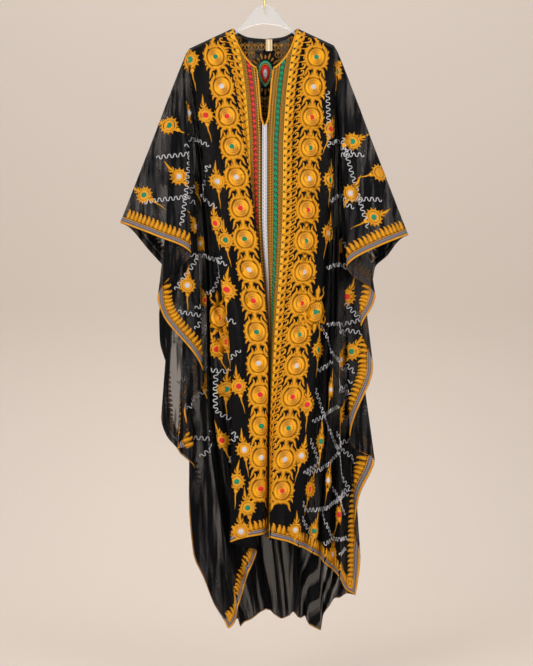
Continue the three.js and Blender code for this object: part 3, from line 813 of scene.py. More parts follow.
# %% Cutting the pieces
def between(face, side, low, high):
    """Columns of a wing from one angle to another, in the grid's order."""
    return [c for c in GRID[face] if c[0] == side and low - 1e-6 <= c[1] <= high + 1e-6]


def cut_pieces():
    pieces = {}
    for side in ("left", "right"):
        seam = SIDE_SEAM[side][-1][0]
        halves = {face: between(face, side, 0, seam) for face in GRID}
        if side == "left":
            pieces[f"sleeve_{side}"] = halves["back"][::-1] + halves["front"][1:]
        else:
            pieces[f"sleeve_{side}"] = halves["front"] + halves["back"][::-1][1:]
        for face in GRID:
            edge = FANS[side, face][-1][0]
            gore = between(face, side, seam, edge)
            pieces[f"gore_{face}_{side}"] = gore if face == "front" else gore[::-1]
    for face in GRID:
        panel = [
            c for c in GRID[face]
            if c[0] == "body" or c[1] >= FANS[c[0], face][-1][0] - 1e-6
        ]
        pieces[f"panel_{face}"] = panel if face == "front" else panel[::-1]
    return pieces


for face, grid in GRID.items():
    normals = -AWAY[face] * outward(np.array([c[2] for c in grid]))
    GRID[face] = [(*c, normal, face) for c, normal in zip(grid, normals)]
PATTERN = cut_pieces()
CLOTH = {}
for name, columns in PATTERN.items():
    points, flat = stacked(columns)
    normals = np.array([c[4] for c in columns])
    CLOTH[name] = shell(f"cloth_{name}", points, normals, flat, CHIFFON[name.split("_")[0]])
    print(name, len(columns), "columns,", len(CLOTH[name].data.polygons) * 2, "triangles")

# %% [markdown]
# ## Attaching the cloth
# The size of each piece's cut is measured on the flat map and printed. Each piece is
# attached to the root body, and the nodes of the CAD that it stands in for are hidden.


# %% Flat sizes
def flat_size(columns):
    """Width, length and area of a piece on the cut, in metres."""
    parts = {}
    for c in columns:
        parts.setdefault(c[5], []).append(c[3])
    area, wide, long = 0, 0, 0
    for face_part in parts.values():
        q = np.array(face_part) * MM
        a, b, c, d = q[:-1, :-1], q[:-1, 1:], q[1:, 1:], q[1:, :-1]
        one, two = c - a, d - b
        area += np.abs(one[..., 0] * two[..., 1] - one[..., 1] * two[..., 0]).sum() / 2
        span = q.reshape(-1, 2).max(0) - q.reshape(-1, 2).min(0)
        wide, long = wide + span[0], max(long, span[1])
    return float(wide), float(long), float(area)


def declare(piece, slot, *nodes):
    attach(piece, "root")
    for node in nodes:
        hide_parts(node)
    return piece


for name, columns in PATTERN.items():
    wide, long, area = flat_size(columns)
    declare(CLOTH[name], "cloth", name)
    print(name, "cut", round(wide, 3), "x", round(long, 3), "m, area", round(area, 3))

# %% [markdown]
# ## Carrying embroidery onto the folds
# Embroidery is worked while the cloth lies flat. So each motif is modelled once, lying flat,
# and a plan says where its copies go on the cut. A Geometry Nodes tree then puts a copy on
# every point of the plan and looks up each corner's place on the hung cloth through the
# cloth's UV map. Bending every motif with curves or lattices would give the same look, but
# this way one tree serves them all.


# %% What the embroidery is sewn to
def carrier(face, inside=False):
    """The open face of a sheet, with the flat cut as its UV map, as a helper removed at the end.
    """
    flip = -1 if (face == "back") != inside else 1
    grid = GRID[face]
    points = np.array([c[2] for c in grid])
    flat = np.array([c[3] for c in grid])
    normals = np.array([c[4] for c in grid]) * (-1 if inside else 1)
    verts = (points + normals * CLOTH_WALL / 2).reshape(-1, 3) * MM
    faces, _ = grid_faces(*points.shape[:2])
    uvs = np.stack([0.5 + flip * flat[..., 0] * MM / 2, 1 - flat[..., 1] * MM / 2], axis=-1)
    name = f"carrier_{face}{'_inside' if inside else ''}"
    helper = new_object(name, verts, faces.tolist(), uvs.reshape(-1, 2))
    out = helper.data.attributes.new("outward", "FLOAT_VECTOR", "POINT")
    out.data.foreach_set("vector", normals.reshape(-1).astype(np.float32))
    return helper


CARRIERS = {
    "front": carrier("front"),
    "back": carrier("back"),
    "inside": carrier("back", inside=True),
}
print("carriers:", {k: len(o.data.polygons) for k, o in CARRIERS.items()})


# %% The tree that embroiders
def embroidery_tree():
    tree = bpy.data.node_groups.new("embroider on cloth", "GeometryNodeTree")
    sockets = dict(Plan="Geometry", Motif="Object", Cloth="Object", Lift="Float",
                   Thread="Material")
    for label, kind in sockets.items():
        tree.interface.new_socket(label, in_out="INPUT", socket_type=f"NodeSocket{kind}")
    tree.interface.new_socket("Embroidery", in_out="OUTPUT", socket_type="NodeSocketGeometry")
    given = make_node(tree, "NodeGroupInput").outputs

    def step(kind, output, inputs=None, **settings):
        return make_node(tree, kind, inputs, **settings).outputs[output]

    def named(label, kind):
        return step("GeometryNodeInputNamedAttribute", "Attribute", dict(Name=label),
                    data_type=kind)

    motif = step("GeometryNodeObjectInfo", "Geometry", dict(Object=given["Motif"]))
    turn = step("ShaderNodeCombineXYZ", "Vector", dict(Z=named("turn", "FLOAT")))
    copies = step("GeometryNodeInstanceOnPoints", "Instances", dict(
        Points=given["Plan"], Instance=motif, Rotation=turn, Scale=named("size", "FLOAT")))
    flat = step("GeometryNodeRealizeInstances", "Geometry", dict(Geometry=copies))

    where = step("GeometryNodeInputPosition", "Position")
    apart = make_node(tree, "ShaderNodeSeparateXYZ", dict(Vector=where)).outputs
    cut = step("ShaderNodeCombineXYZ", "Vector", dict(
        X=calc(tree, "MULTIPLY_ADD", apart["X"], 0.5, 0.5),
        Y=calc(tree, "MULTIPLY_ADD", apart["Y"], 0.5, 1.0)))
    cloth = step("GeometryNodeObjectInfo", "Geometry", dict(Object=given["Cloth"]))

    def looked_up(value):
        sample = make_node(tree, "GeometryNodeSampleUVSurface", data_type="FLOAT_VECTOR")
        source = "UV Map" if "UV Map" in sample.inputs else "Source UV Map"
        inputs = {"Mesh": cloth, "Value": value, source: named("Cut", "FLOAT_VECTOR"),
                  "Sample UV": cut}
        for label, output in inputs.items():
            tree.links.new(output, sample.inputs[label])
        return sample.outputs

    surface = looked_up(step("GeometryNodeInputPosition", "Position"))
    outward_way = looked_up(named("outward", "FLOAT_VECTOR"))["Value"]
    height = calc(tree, "ADD", apart["Z"], given["Lift"])
    unit = step("ShaderNodeVectorMath", "Vector", {0: outward_way}, operation="NORMALIZE")
    raised = step("ShaderNodeVectorMath", "Vector", {0: unit, "Scale": height}, operation="SCALE")
    total = step("ShaderNodeVectorMath", "Vector", {0: surface["Value"], 1: raised},
                 operation="ADD")
    off_cloth = step("FunctionNodeBooleanMath", "Boolean", {0: surface["Is Valid"]},
                     operation="NOT")
    trimmed = step("GeometryNodeDeleteGeometry", "Geometry",
                   dict(Geometry=flat, Selection=off_cloth))
    moved = step("GeometryNodeSetPosition", "Geometry", dict(Geometry=trimmed, Position=total))
    real = step("GeometryNodeRealizeInstances", "Geometry", dict(Geometry=moved))
    painted = step("GeometryNodeSetMaterial", "Geometry",
                   dict(Geometry=real, Material=given["Thread"]))
    make_node(tree, "NodeGroupOutput", dict(Embroidery=painted))
    return tree


TREE = embroidery_tree()
print("tree:", TREE.name, len(TREE.nodes), "nodes")


# %% Using the tree
def plain_mesh(maker):
    """What an object shows, as a mesh of its own; the object itself is thrown away."""
    seen = maker.evaluated_get(bpy.context.evaluated_depsgraph_get())
    mesh = bpy.data.meshes.new_from_object(seen)
    bpy.data.objects.remove(maker)
    return mesh


SEWN = []  # every finished piece of embroidery


def embroider(name, motif, spots, cloth, material, slot, lift=0.5):
    """One finished piece: the motif at every spot (x, y, turn, size) of the flat cut."""
    flip = -1 if cloth == "back" else 1
    spots = np.array(spots, float)
    plan = bpy.data.meshes.new(f"plan_{name}")
    flat = np.zeros((len(spots), 3))
    flat[:, 0], flat[:, 1] = spots[:, 0] * flip * MM, -spots[:, 1] * MM
    plan.from_pydata(flat.tolist(), [], [])
    for label, values in (("turn", spots[:, 2] * flip), ("size", spots[:, 3])):
        plan.attributes.new(label, "FLOAT", "POINT").data.foreach_set("value", values)
    maker = add_object(f"maker_{name}", plan)
    work = maker.modifiers.new("embroidery", "NODES")
    work.node_group = TREE
    settings = dict(Motif=motif, Cloth=CARRIERS[cloth], Lift=lift * MM, Thread=material)
    for socket in TREE.interface.items_tree:
        if socket.in_out == "INPUT" and socket.name in settings:
            work[socket.identifier] = settings[socket.name]
    mesh = plain_mesh(maker)
    mesh.name = name
    mesh.shade_smooth()
    piece = declare(add_object(name, mesh), slot)
    SEWN.append(piece)
    mesh.calc_loop_triangles()
    print(f"{name}: {len(spots)} copies, {len(mesh.loop_triangles)} triangles")
    return piece


MAKING = []  # flat motifs, thrown away once they have been sewn on


def motif_object(name, parts, mirrored=False):
    """Joins (verts, faces, uvs) parts, in millimetres, into one flat motif."""
    verts, faces, uvs, base = [], [], [], 0
    for part_verts, part_faces, part_uvs in parts:
        verts += [tuple(v) for v in part_verts]
        faces += [tuple(base + i for i in face) for face in part_faces]
        uvs += [tuple(uv) for uv in part_uvs]
        base = len(verts)
    verts = np.array(verts, float) * MM
    if mirrored:
        verts[:, 0] *= -1
        faces = [face[::-1] for face in faces]
    made = new_object(f"motif_{name}", verts, faces, np.array(uvs) * MM, "Thread")
    made.hide_render = True
    MAKING.append(made)
    return made


print("ready to embroider")

# %% [markdown]
# ## Threads, strokes and discs
# Every motif is built of the few shapes that a satin stitch can make: a stroke that is
# crowned along its middle, a round crowned disc, a ring, and a small pointed spike. Each is
# a closed little solid of a few dozen faces, because it is repeated hundreds of times. Its UV
# map runs along the thread, so that the stitches can be drawn across it.


# %% Shapes of stitches
def stroke(path, widths, crown):
    """A crowned stroke along flat points; widths are half widths, one for each point."""
    path = np.array(path, float)
    widths = np.broadcast_to(np.array(widths, float), (len(path),))
    way = np.gradient(path, axis=0)
    way /= np.maximum(np.linalg.norm(way, axis=1, keepdims=True), 1e-9)
    side = np.stack([-way[:, 1], way[:, 0]], axis=1) * widths[:, None]
    run = running(path)
    top = crown * (widths / max(widths.max(), 1e-9)) ** 0.5
    verts, uvs, faces = [], [], []
    for k in range(len(path)):
        left, right = path[k] + side[k], path[k] - side[k]
        verts += [(*left, 0), (*path[k], top[k]), (*right, 0)]
        uvs += [(run[k], widths[k]), (run[k], 0), (run[k], -widths[k])]
        if k:
            a, b = 3 * k - 3, 3 * k
            faces += [(a, a + 1, b + 1, b), (a + 1, a + 2, b + 2, b + 1), (a + 2, a, b, b + 2)]
    last = 3 * (len(path) - 1)
    faces += [(0, 2, 1), (last, last + 1, last + 2)]
    return verts, [face[::-1] for face in faces], uvs


def around(n):
    """Each corner of a closed loop with the one after it."""
    return [(k, (k + 1) % n) for k in range(n)]


def circle(radius, n):
    a = np.arange(n) * 2 * math.pi / n
    return np.stack([radius * np.cos(a), radius * np.sin(a)], axis=1)


def disc(radius, crown, n=14, centre=(0, 0)):
    """A crowned disc of thread."""
    loops = [(1, 0), (0.85, 0.7), (0.5, 0.95)]
    edge = circle(radius, n)
    verts = [(*(p * wide + centre), crown * high) for wide, high in loops for p in edge]
    verts += [(*centre, crown), (*centre, 0)]
    uvs = [tuple(p * wide) for wide, high in loops for p in edge] + [(0, 0)] * 2
    faces = []
    for k, j in around(n):
        faces += [(k, j, n + j, n + k), (n + k, n + j, 2 * n + j, 2 * n + k)]
        faces += [(2 * n + k, 2 * n + j, 3 * n), (j, k, 3 * n + 1)]
    return verts, faces, uvs


def ring_between(inner, outer, crown, step, widths):
    """A crowned ring of thread between two closed lines."""
    n = len(inner)
    loops = zip((inner, (inner + outer) / 2, outer), (0, crown, 0))
    verts = [(*p, z) for loop, z in loops for p in loop]
    faces = []
    for k, j in around(n):
        faces += [(k, n + k, n + j, j), (n + k, 2 * n + k, 2 * n + j, n + j),
                  (2 * n + k, k, j, 2 * n + j)]
    return verts, faces, [(k * step, w) for w in widths for k in range(n)]


def ring(inner, outer, crown, n=16):
    widths = (inner, (inner + outer) / 2, outer)
    return ring_between(circle(inner, n), circle(outer, n), crown, outer * 0.4, widths)


def spikes(radius, length, half, crown, n, start=0.0):
    """Pointed stitches standing round a circle."""
    parts = []
    for k in range(n):
        a = start + k * 2 * math.pi / n
        out, across = np.array([math.cos(a), math.sin(a)]), np.array([-math.sin(a), math.cos(a)])
        base, tip = out * radius, out * (radius + length)
        left, right = base + across * half, base - across * half
        verts = [(*left, 0), (*right, 0), (*tip, 0), (*(base + out * length * 0.3), crown)]
        faces = [(2, 1, 0), (1, 3, 0), (2, 3, 1), (0, 3, 2)]
        parts.append((verts, faces, [(0, half), (0, -half), (length, 0), (2, 0)]))
    return parts


def bent(points, n=7):
    """A smooth flat path through a few points."""
    points = np.array(points, float)
    keys = running(points)
    at = np.linspace(0, keys[-1], n)
    return np.stack([curve(keys, points[:, 0], at), curve(keys, points[:, 1], at)], axis=1)


print("stroke of three points has", len(stroke([(0, 0), (5, 0), (9, 2)], 1, 0.5)[1]), "faces")

# %% [markdown]
# ## Finishes of the embroidery
# Gold, silver and coloured threads share one shader group: fine ridges run across each
# stroke where the stitches lie side by side. Each thread has a lit colour and a darker shaded
# copy, painted as shade into the ridges' grooves and into slow patches of noise. Ribbons and
# pierced braids are flat bands, so their holes and zigzags are drawn by a second group from
# the band's own coordinates.


# %% Stitched thread
def thread_group(name, **more):
    """A group of thread: its colours go in, a colour and its relief come out."""
    inputs = dict(Colour="Color", Painted_Shade_And_Holes="Color", **more)
    return node_group(name, inputs, Colour="Color", Height="Float")


def along_thread(group):
    return make_node(group, "ShaderNodeUVMap", uv_map="Thread").outputs["UV"]


def stitch_group():
    group, given = thread_group("stitches")
    inputs = {"Vector": along_thread(group), "Scale": 420, "Distortion": 1.2}
    ripple = make_node(group, "ShaderNodeTexWave", inputs, wave_type="BANDS",
                       bands_direction="DIAGONAL").outputs["Fac"]
    painted_shade_drift = object_texture(group, "ShaderNodeTexNoise", {"Scale": 60, "Detail": 3})
    # painted shade: the grooves between the ridges and slow patches of noise take the thread's
    # darker shaded colour
    share = calc(group, "MULTIPLY_ADD", ripple, 0.3,
                 calc(group, "MULTIPLY_ADD", painted_shade_drift, 1.3, -0.35))
    make_node(group, "NodeGroupOutput", dict(
        Colour=blended(group, share, given["Painted_Shade_And_Holes"], given["Colour"]), Height=ripple))
    return group


STITCHES = stitch_group()


def thread_finish(name, colour, shade, roughness=0.45, group=STITCHES):
    material = finish(name, colour, roughness, Specular_IOR_Level=0.25)
    return covered(material, group, dict(Colour=(*colour, 1), Painted_Shade_And_Holes=(*shade, 1)), 0.5, 0.0003)


# each thread: its lit colour, then a darker shaded copy of it that is painted in as shade
GOLD = thread_finish("gold thread", (1.0, 0.44, 0.008), (0.60, 0.24, 0.006))
OLD_GOLD = thread_finish("dull gold thread", (0.50, 0.24, 0.03), (0.22, 0.09, 0.008))
RED = thread_finish("red thread", (0.86, 0.030, 0.040), (0.62, 0.012, 0.020))
GREEN = thread_finish("green thread", (0.005, 0.34, 0.17), (0.0, 0.17, 0.09))
SILVER = thread_finish("silver thread", (0.86, 0.86, 0.90), (0.58, 0.58, 0.62))
WHITE = thread_finish("white thread", (0.82, 0.80, 0.82), (0.5, 0.48, 0.52))
DARK = thread_finish("black thread", (0.012, 0.010, 0.010), (0.006, 0.005, 0.005), 0.6)
print("threads:", [m.name for m in bpy.data.materials if "thread" in m.name])


# %% Turned satin of the discs
def far_from_zero(do, x, y):
    return do("SQRT", do("ADD", do("MULTIPLY", x, x), do("MULTIPLY", y, y)))


def turned_group():
    """Rings of satin round a disc's centre; painted sheen and shade darken their grooves and two
    opposite sectors.
    """
    group, given = thread_group("turned satin")
    do = partial(calc, group)
    apart = make_node(group, "ShaderNodeSeparateXYZ", dict(Vector=along_thread(group))).outputs
    x, y = apart["X"], apart["Y"]
    # painted sheen: the turned stitches are lit in two opposite sectors and shaded in the other
    # two
    painted_sheen_sector = do("SINE", do("MULTIPLY_ADD", do("ARCTAN2", y, x), 2.0, 0.7))
    rings = do("SINE", do("MULTIPLY", far_from_zero(do, x, y), 1250.0))
    tone = do("MULTIPLY_ADD", rings, 0.22, do("MULTIPLY_ADD", painted_sheen_sector, 0.42, 0.60))
    make_node(group, "NodeGroupOutput", dict(
        Colour=blended(group, tone, given["Painted_Shade_And_Holes"], given["Colour"]), Height=rings))
    return group


TURNED = turned_group()
# the disc's shaded copy is darker than the plain gold's, for the painted sheen sectors
GOLD_DISC = thread_finish("gold satin", (1.0, 0.44, 0.008), (0.42, 0.16, 0.006), group=TURNED)
print("discs:", TURNED.name)


# %% Pierced braid, dotted ribbon and zigzag braid
def pierced_group():
    """Rows of round dark holes on a band; spacing and radius are set in metres."""
    group, given = thread_group("pierced band", Across="Float", Along="Float", Size="Float",
                                Slant="Float")
    do = partial(calc, group)
    apart = make_node(group, "ShaderNodeSeparateXYZ", dict(Vector=along_thread(group))).outputs
    across = do("DIVIDE", apart["X"], given["Across"])
    along = do("DIVIDE", apart["Y"], given["Along"])
    slanted = do("MULTIPLY_ADD", across, given["Slant"],
                 do("MULTIPLY_ADD", do("FLOOR", across), 0.5, along))
    x, y = (do("MULTIPLY", do("SUBTRACT", do("FRACT", way), 0.5), given[size])
            for way, size in ((across, "Across"), (slanted, "Along")))
    edge = do("MULTIPLY", do("SUBTRACT", far_from_zero(do, x, y), given["Size"]), 2500.0)
    solid = make_node(group, "ShaderNodeClamp", dict(Value=edge)).outputs["Result"]
    # here the second colour is the holes' own dark colour, where black cloth shows through, not
    # painted shade
    make_node(group, "NodeGroupOutput", dict(
        Colour=blended(group, solid, given["Painted_Shade_And_Holes"], given["Colour"]), Height=solid))
    return group


PIERCED = pierced_group()


def pierced_finish(name, colour, hole, across, along, size, slant=0.0):
    values = dict(Colour=(*colour, 1), Painted_Shade_And_Holes=(*hole, 1), Across=across * MM, Along=along * MM,
                  Size=size * MM, Slant=slant)
    band = finish(name, colour, 0.45, Specular_IOR_Level=0.25)
    return covered(band, PIERCED, values, 0.6, 0.0005)


NIGHT = (0.015, 0.010, 0.006)
PIERCED_GOLD = pierced_finish("pierced gold braid", (0.86, 0.40, 0.014), NIGHT, 6.5, 7.2, 2.9)
SCALE_GOLD = pierced_finish("dotted gold band", (0.88, 0.43, 0.016), NIGHT, 8.0, 18.0, 2.5)
RED_RIBBON = pierced_finish("red ribbon", (0.86, 0.030, 0.040), NIGHT, 5.0, 14.0, 2.9)
GREEN_RIBBON = pierced_finish("green ribbon", (0.0, 0.32, 0.15), NIGHT, 5.0, 14.0, 2.9)
SILVER_BRAID = pierced_finish("silver braid", (0.70, 0.69, 0.75), (0.06, 0.06, 0.07), 6.3, 9.0,
                              1.4)
LILAC_BRAID = pierced_finish("lilac grey braid", (0.27, 0.25, 0.30), (0.03, 0.03, 0.04), 4.2,
                             5.0, 1.3, 1.0)
print("bands:", PIERCED.name)

# %% [markdown]
# ## Motifs
# The medallion is a gold sun disc inside a broken ring of crescents, with a coloured eye.
# A stem with two leaves and a pair of curling horns stand above it and two curving legs
# below, so that a column of them makes a chain. Loose suns, with a spear above and a long
# stem below, are scattered between the lines of running waves.


# %% Medallion
def both_sides(path, widths, crown):
    """A stroke and its mirror image, both facing up."""
    mirror = [(-x, y) for x, y in path][::-1]
    return [stroke(path, widths, crown), stroke(mirror, widths[::-1], crown)]


def arc(radius, start, end, n=8):
    a = np.radians(np.linspace(start, end, n))
    return [(radius * math.cos(t), radius * math.sin(t)) for t in a]


def medallion():
    """Crescents and flames, stem and horns above, legs below; its disc is another motif."""
    parts = both_sides(arc(25.1, -70, 64, 11),
                       [2.2, 4.2, 4.8, 4.8, 4.6, 4.3, 4.0, 3.8, 3.4, 3.0, 1.8], 0.8)
    for top in (1, -1):
        parts.append(stroke(arc(23.5, top * 60, top * 120, 6)[::top], [3, 4.8, 5.2, 5.2, 4.8, 3],
                            0.8))
    for degrees, length in ((-28, 7), (-2, 6), (22, 7)):
        a = math.radians(degrees)
        base = np.array([26.5 * math.cos(a), 26.5 * math.sin(a)])
        tip = base + length * np.array([math.cos(a + 0.7), math.sin(a + 0.7)])
        hook = mix(base, tip, 0.5) + (1.2, -0.6)
        parts += both_sides([tuple(base), tuple(hook), tuple(tip)], [3.4, 2.2, 0.3], 0.6)
    parts.append(stroke([(0, 23), (0, 27), (0, 32), (0, 38), (0, 43)],
                        [9, 5.6, 4.6, 6.0, 9.0], 0.8))
    parts += both_sides([(2.5, 25), (6.2, 27.5), (6.8, 32.5)], [2.6, 2.0, 0.3], 0.6)
    parts += both_sides(bent([(24, 12), (18, 19.5), (13.6, 25), (14.2, 30), (16.6, 34)], 8),
                        [2.6, 3.6, 3.8, 3.6, 3.2, 2.6, 1.8, 0.3], 0.8)
    parts += both_sides(bent([(8, -24), (15, -25.5), (20, -31), (21.4, -37), (26, -44)], 8),
                        [4.4, 4.4, 4.0, 3.4, 3.0, 2.4, 1.6, 0.3], 0.8)
    parts += both_sides(bent([(20, -16), (26, -20), (28.5, -26)], 5), [3.6, 3.4, 2.8, 1.8, 0.3],
                        0.6)
    return motif_object("medallion", taller(parts))


MEDALLION_HEIGHT = 1.12  # over their width


def taller(parts):
    """The medallions are a little higher than wide."""
    return [([(x, y * MEDALLION_HEIGHT, z) for x, y, z in verts], *rest)
            for verts, *rest in parts]


MEDALLION, EYE = medallion(), motif_object("eye", [disc(6.5, 0.8, 12)])
DISC = motif_object("disc", taller([disc(20.5, 1.0, 20)]))
RIM_LINE = motif_object(
    "rim_line", both_sides(arc(12.5, -60, 60, 6), [0.3, 0.5, 0.6, 0.6, 0.5, 0.3], 0.5))
print("medallion:", len(MEDALLION.data.polygons), "faces")


# %% Sun with spear and stem
def sun(mirrored=False):
    parts = [disc(16.4, 0.9, 18)]
    parts += spikes(15.4, 5.6, 2.6, 0.6, 13, 0.2)
    parts.append(stroke([(0, 14), (0.6, 22), (-0.5, 28), (1.2, 37), (2.6, 47)],
                        [4.4, 2.8, 3.4, 1.9, 0.3], 0.8))
    parts += both_sides([(0, 17), (5.0, 21), (6.2, 27)], [2.4, 1.9, 0.3], 0.6)
    parts.append(disc(4.6, 0.8, 9, (0, -21)))
    parts.append(stroke([(0, -22), (-0.8, -34), (0.6, -46), (0, -60)], [2.3, 1.5, 1.1, 0.3], 0.6))
    return motif_object("sun_mirrored" if mirrored else "sun", parts, mirrored)


SUN = {"left": sun(), "right": sun(mirrored=True)}
SUN_RING = motif_object("sun_ring", [ring(10.9, 12.3, 0.3, 16)])
print("sun:", len(SUN["left"].data.polygons), "faces")


# %% Waves, drops, curls and scales
def wave():
    """One S of the running wave along x: its way swings by a right angle to each side."""
    turn = np.radians(82) * np.cos(2 * math.pi * (np.arange(14) + 0.5) / 14)
    path = np.concatenate([[(0, 0)], np.cumsum(np.stack([np.cos(turn), np.sin(turn)], 1), axis=0)])
    return motif_object("wave", [stroke(path * WAVE_LENGTH / path[-1, 0], 1.15, 0.6)])


def drop():
    """A boteh: a plump drop whose tip hooks over, standing on the braid."""
    body = bent([(0, 0), (0.4, 4), (0.4, 9), (0, 14), (-0.8, 18), (-3.2, 20.5), (-5.4, 19)], 8)
    parts = [stroke(body, [3.4, 5.0, 5.8, 5.8, 5.0, 3.4, 2.0, 0.4], 1.0)]
    parts.append(stroke([(6.4, 0.5), (6.2, 4), (6.9, 8)], [1.3, 0.9, 0.2], 0.5))
    return motif_object("drop", parts)


def curl(mirrored=False):
    """A thin comma that hooks out and down, standing off the scales."""
    path = bent([(-5, -6), (0, -4.5), (4, -0.5), (3.2, 4), (-0.6, 3.6), (0, 0.6)], 10)
    parts = [stroke(path, [0.7, 1.3, 1.8, 2.0, 2.0, 1.9, 1.8, 1.6, 1.5, 0.8], 0.6)]
    return motif_object("curl_mirrored" if mirrored else "curl", parts, mirrored)


def scale(mirrored=False):
    """A leaf-shaped scale of the scalloped bands, pointing out along x and a little up."""
    parts = [stroke(bent([(-3, -3), (2, -1), (6, 3), (6.5, 8), (4.5, 11)], 6),
                    [3.4, 4.0, 3.6, 2.7, 1.5, 0.3], 0.5)]
    parts.append(stroke([(3, -4), (8, -3), (12.5, -0.5)], [1.3, 1.1, 0.3], 0.4))
    return motif_object("scale_mirrored" if mirrored else "scale", parts, mirrored)


WAVE_LENGTH = 14
WAVE, DROP = wave(), drop()
SCALES = {"left": scale(mirrored=True), "right": scale()}
CURL = {"left": curl(mirrored=True), "right": curl()}
print("wave:", len(WAVE.data.polygons), "faces; drop:", len(DROP.data.polygons))

# %% [markdown]
# ## Places on the cut
# The outline of each sheet is read back from its grid, so that a motif is only sewn where
# there is cloth for all of it. Then come the places, in three ways. The medallions stand in
# two even columns. On the back, and out on the sleeves, waves and suns fill a lattice whose
# fields are 168 mm wide and 140 mm high, wider towards the hem. Those that show on the folds
# of the front are listed by where they hang, because a loop can't know which fold hides
# what.


# %% Outline and margins
def outline(face):
    """The sheet's whole edge on the cut, and its cuffs and hem on their own."""
    flat = np.array([c[3] for c in GRID[face]])
    hem = flat[:, -1]
    top = np.concatenate([flat[-1, ::-1], flat[::-1, 0], flat[0, :]])
    return np.concatenate([hem, top[1:-1]]), hem


OUTLINE = {face: outline(face) for face in GRID}


def clear_of_edge(face, x, y):
    """Distance of each flat point from the outline, negative outside."""
    edge = OUTLINE[face][0]
    x, y = np.atleast_1d(np.array(x, float)), np.atleast_1d(np.array(y, float))
    a, b = edge, np.roll(edge, -1, axis=0)
    inside = np.zeros(x.shape, bool)
    nearest = np.full(x.shape, 1e9)
    for (ax, ay), (bx, by) in zip(a, b):
        crosses = (ay > y) != (by > y)
        if ay != by:
            inside ^= crosses & (x < (bx - ax) * (y - ay) / (by - ay) + ax)
        dx, dy = bx - ax, by - ay
        t = ((x - ax) * dx + (y - ay) * dy) / max(dx**2 + dy**2, 1e-9)
        t = np.clip(t, 0, 1)
        nearest = np.minimum(nearest, np.hypot(x - ax - t * dx, y - ay - t * dy))
    return np.where(inside, nearest, -nearest)


def kept(face, spots, margin, low=None):
    """The spots that lie well inside the sheet, and above a level if one is given."""
    spots = np.array(spots, float)
    ok = clear_of_edge(face, spots[:, 0], spots[:, 1]) > margin
    if low is not None:
        ok &= spots[:, 1] < low
    return spots[ok]


print("clear of the edge at (0, 600):", clear_of_edge("front", 0, 600).round(1))


# %% Fields of the lattice
FIELD = (84, 70)  # half width and half height of a field
FIRST = (172, 106)  # where the first crossing is
WIDENS = [450, 950], [1.0, 2.2]  # drops on the cut, and how wide the fields are there
PLAIN_BELOW, PLAIN_REACH = 1090, 20  # what is left plain on the left front gore
PLAIN_EDGE = next(c[3] for c in GRID["front"] if c[0] == "body")


def crossings(side):
    return [(SIGN[side] * (FIRST[0] + FIELD[0] * k), FIRST[1] + FIELD[1] * (2 * row + k % 2))
            for k in range(-1, 16) for row in range(-8, 13)]


def spread(x, y):
    """The fields widen towards the hem, as the skirt does."""
    return np.sign(x) * (FIRST[0] + (np.abs(x) - FIRST[0]) * np.interp(y, *WIDENS))


def in_plain_part(face, x, y):
    """The lower part of the left front gore is left plain."""
    edge = np.interp(y, PLAIN_EDGE[:, 1], PLAIN_EDGE[:, 0])
    return (face == "front") & (np.asarray(y) > PLAIN_BELOW) & (np.asarray(x) < edge + PLAIN_REACH)


print("crossings on each side:", len(crossings("left")))

# %% Motifs listed by where they hang
# Rows: x, z, which way the stem leans there (degrees from straight down, to the right),
# eye, size.
SUNS = [
    (-185, -209, 15, "green", 1.2), (-192, -345, 25, "white", 1), (-149, -356, 12, "red", 1),
    (-238, -379, 60, "green", 1), (-216, -507, 45, "white", 1), (-303, -552, 56, "green", 1),
    (-115, -522, 8, "white", 1), (-142, -630, 8, "red", 1), (-96, -669, 10, "green", 1),
    (-101, -795, 0, "red", 1.15), (-190, -776, 0, "white", 1), (-118, -936, 22, "red", 1),
    (-95, -912, 10, "red", 1), (-156, -1019, 15, "gold", 1), (-94, -1037, 0, "green", 1),
    (-60, -1030, 12, "red", 1), (-109, -1158, 24, "red", 1), (-50, -1177, 10, "white", 1),
    (-67, -1264, -4, "green", 1), (-45, -1322, 12, "green", 1), (-60, -1380, 5, "white", 1.1),
    (175, -243, -20, "green", 1), (165, -387, -20, "red", 1), (218, -414, -60, "green", 1),
    (285, -497, -70, "gold", 1), (165, -519, -5, "green", 1), (212, -545, -30, "white", 1),
    (271, -606, -60, "green", 1), (158, -652, -15, "white", 1), (191, -805, -25, "red", 1),
    (132, -938, -5, "green", 1), (220, -936, -35, "green", 1.05), (161, -1028, -14, "white", 1),
    (116, -1070, -3, "red", 1), (145, -1153, -5, "green", 1), (92, -1199, -15, "white", 1),
    (161, -1251, -12, "white", 1), (112, -1271, -18, "red", 1), (195, -1343, -30, "red", 1.05),
    (131, -1374, -18, "green", 1), (80, -1380, -5, "white", 0.9), (165, -1446, -5, "white", 1),
]
LARGE = [(-112, -860, 6, "red", 1), (144, -839, -6, "green", 1)]
SUN_SIZE = 1.15
FACING = -np.array([c[4] for c in GRID["front"]])[..., 1]
FACING = np.min([np.roll(FACING, shift, axis=0) for shift in range(-2, 3)], axis=0)
TURNED_COST, DEEP_COST = 26, 0.35  # what it counts, in mm, that cloth turns away or lies deep


def seen_at(x, z):
    """Flat place of what hangs at x, z and faces the viewer best, and its thread's turn."""
    best, found = 1e9, None
    for (_, _, points, flat, *_), facing in zip(GRID["front"], FACING):
        miss = np.hypot(points[:, 0] - x, points[:, 2] - z)
        cost = miss + TURNED_COST * (1 - facing) + DEEP_COST * points[:, 1]
        k = int(cost.argmin())
        if cost[k] < best:
            a, b = max(k - 2, 0), min(k + 2, len(points) - 1)
            hung, cut = points[b] - points[a], flat[b] - flat[a]
            turn = math.atan2(cut[0], cut[1]) - math.atan2(hung[0], -hung[2])
            best, found = cost[k], (*flat[k], turn)
    return found


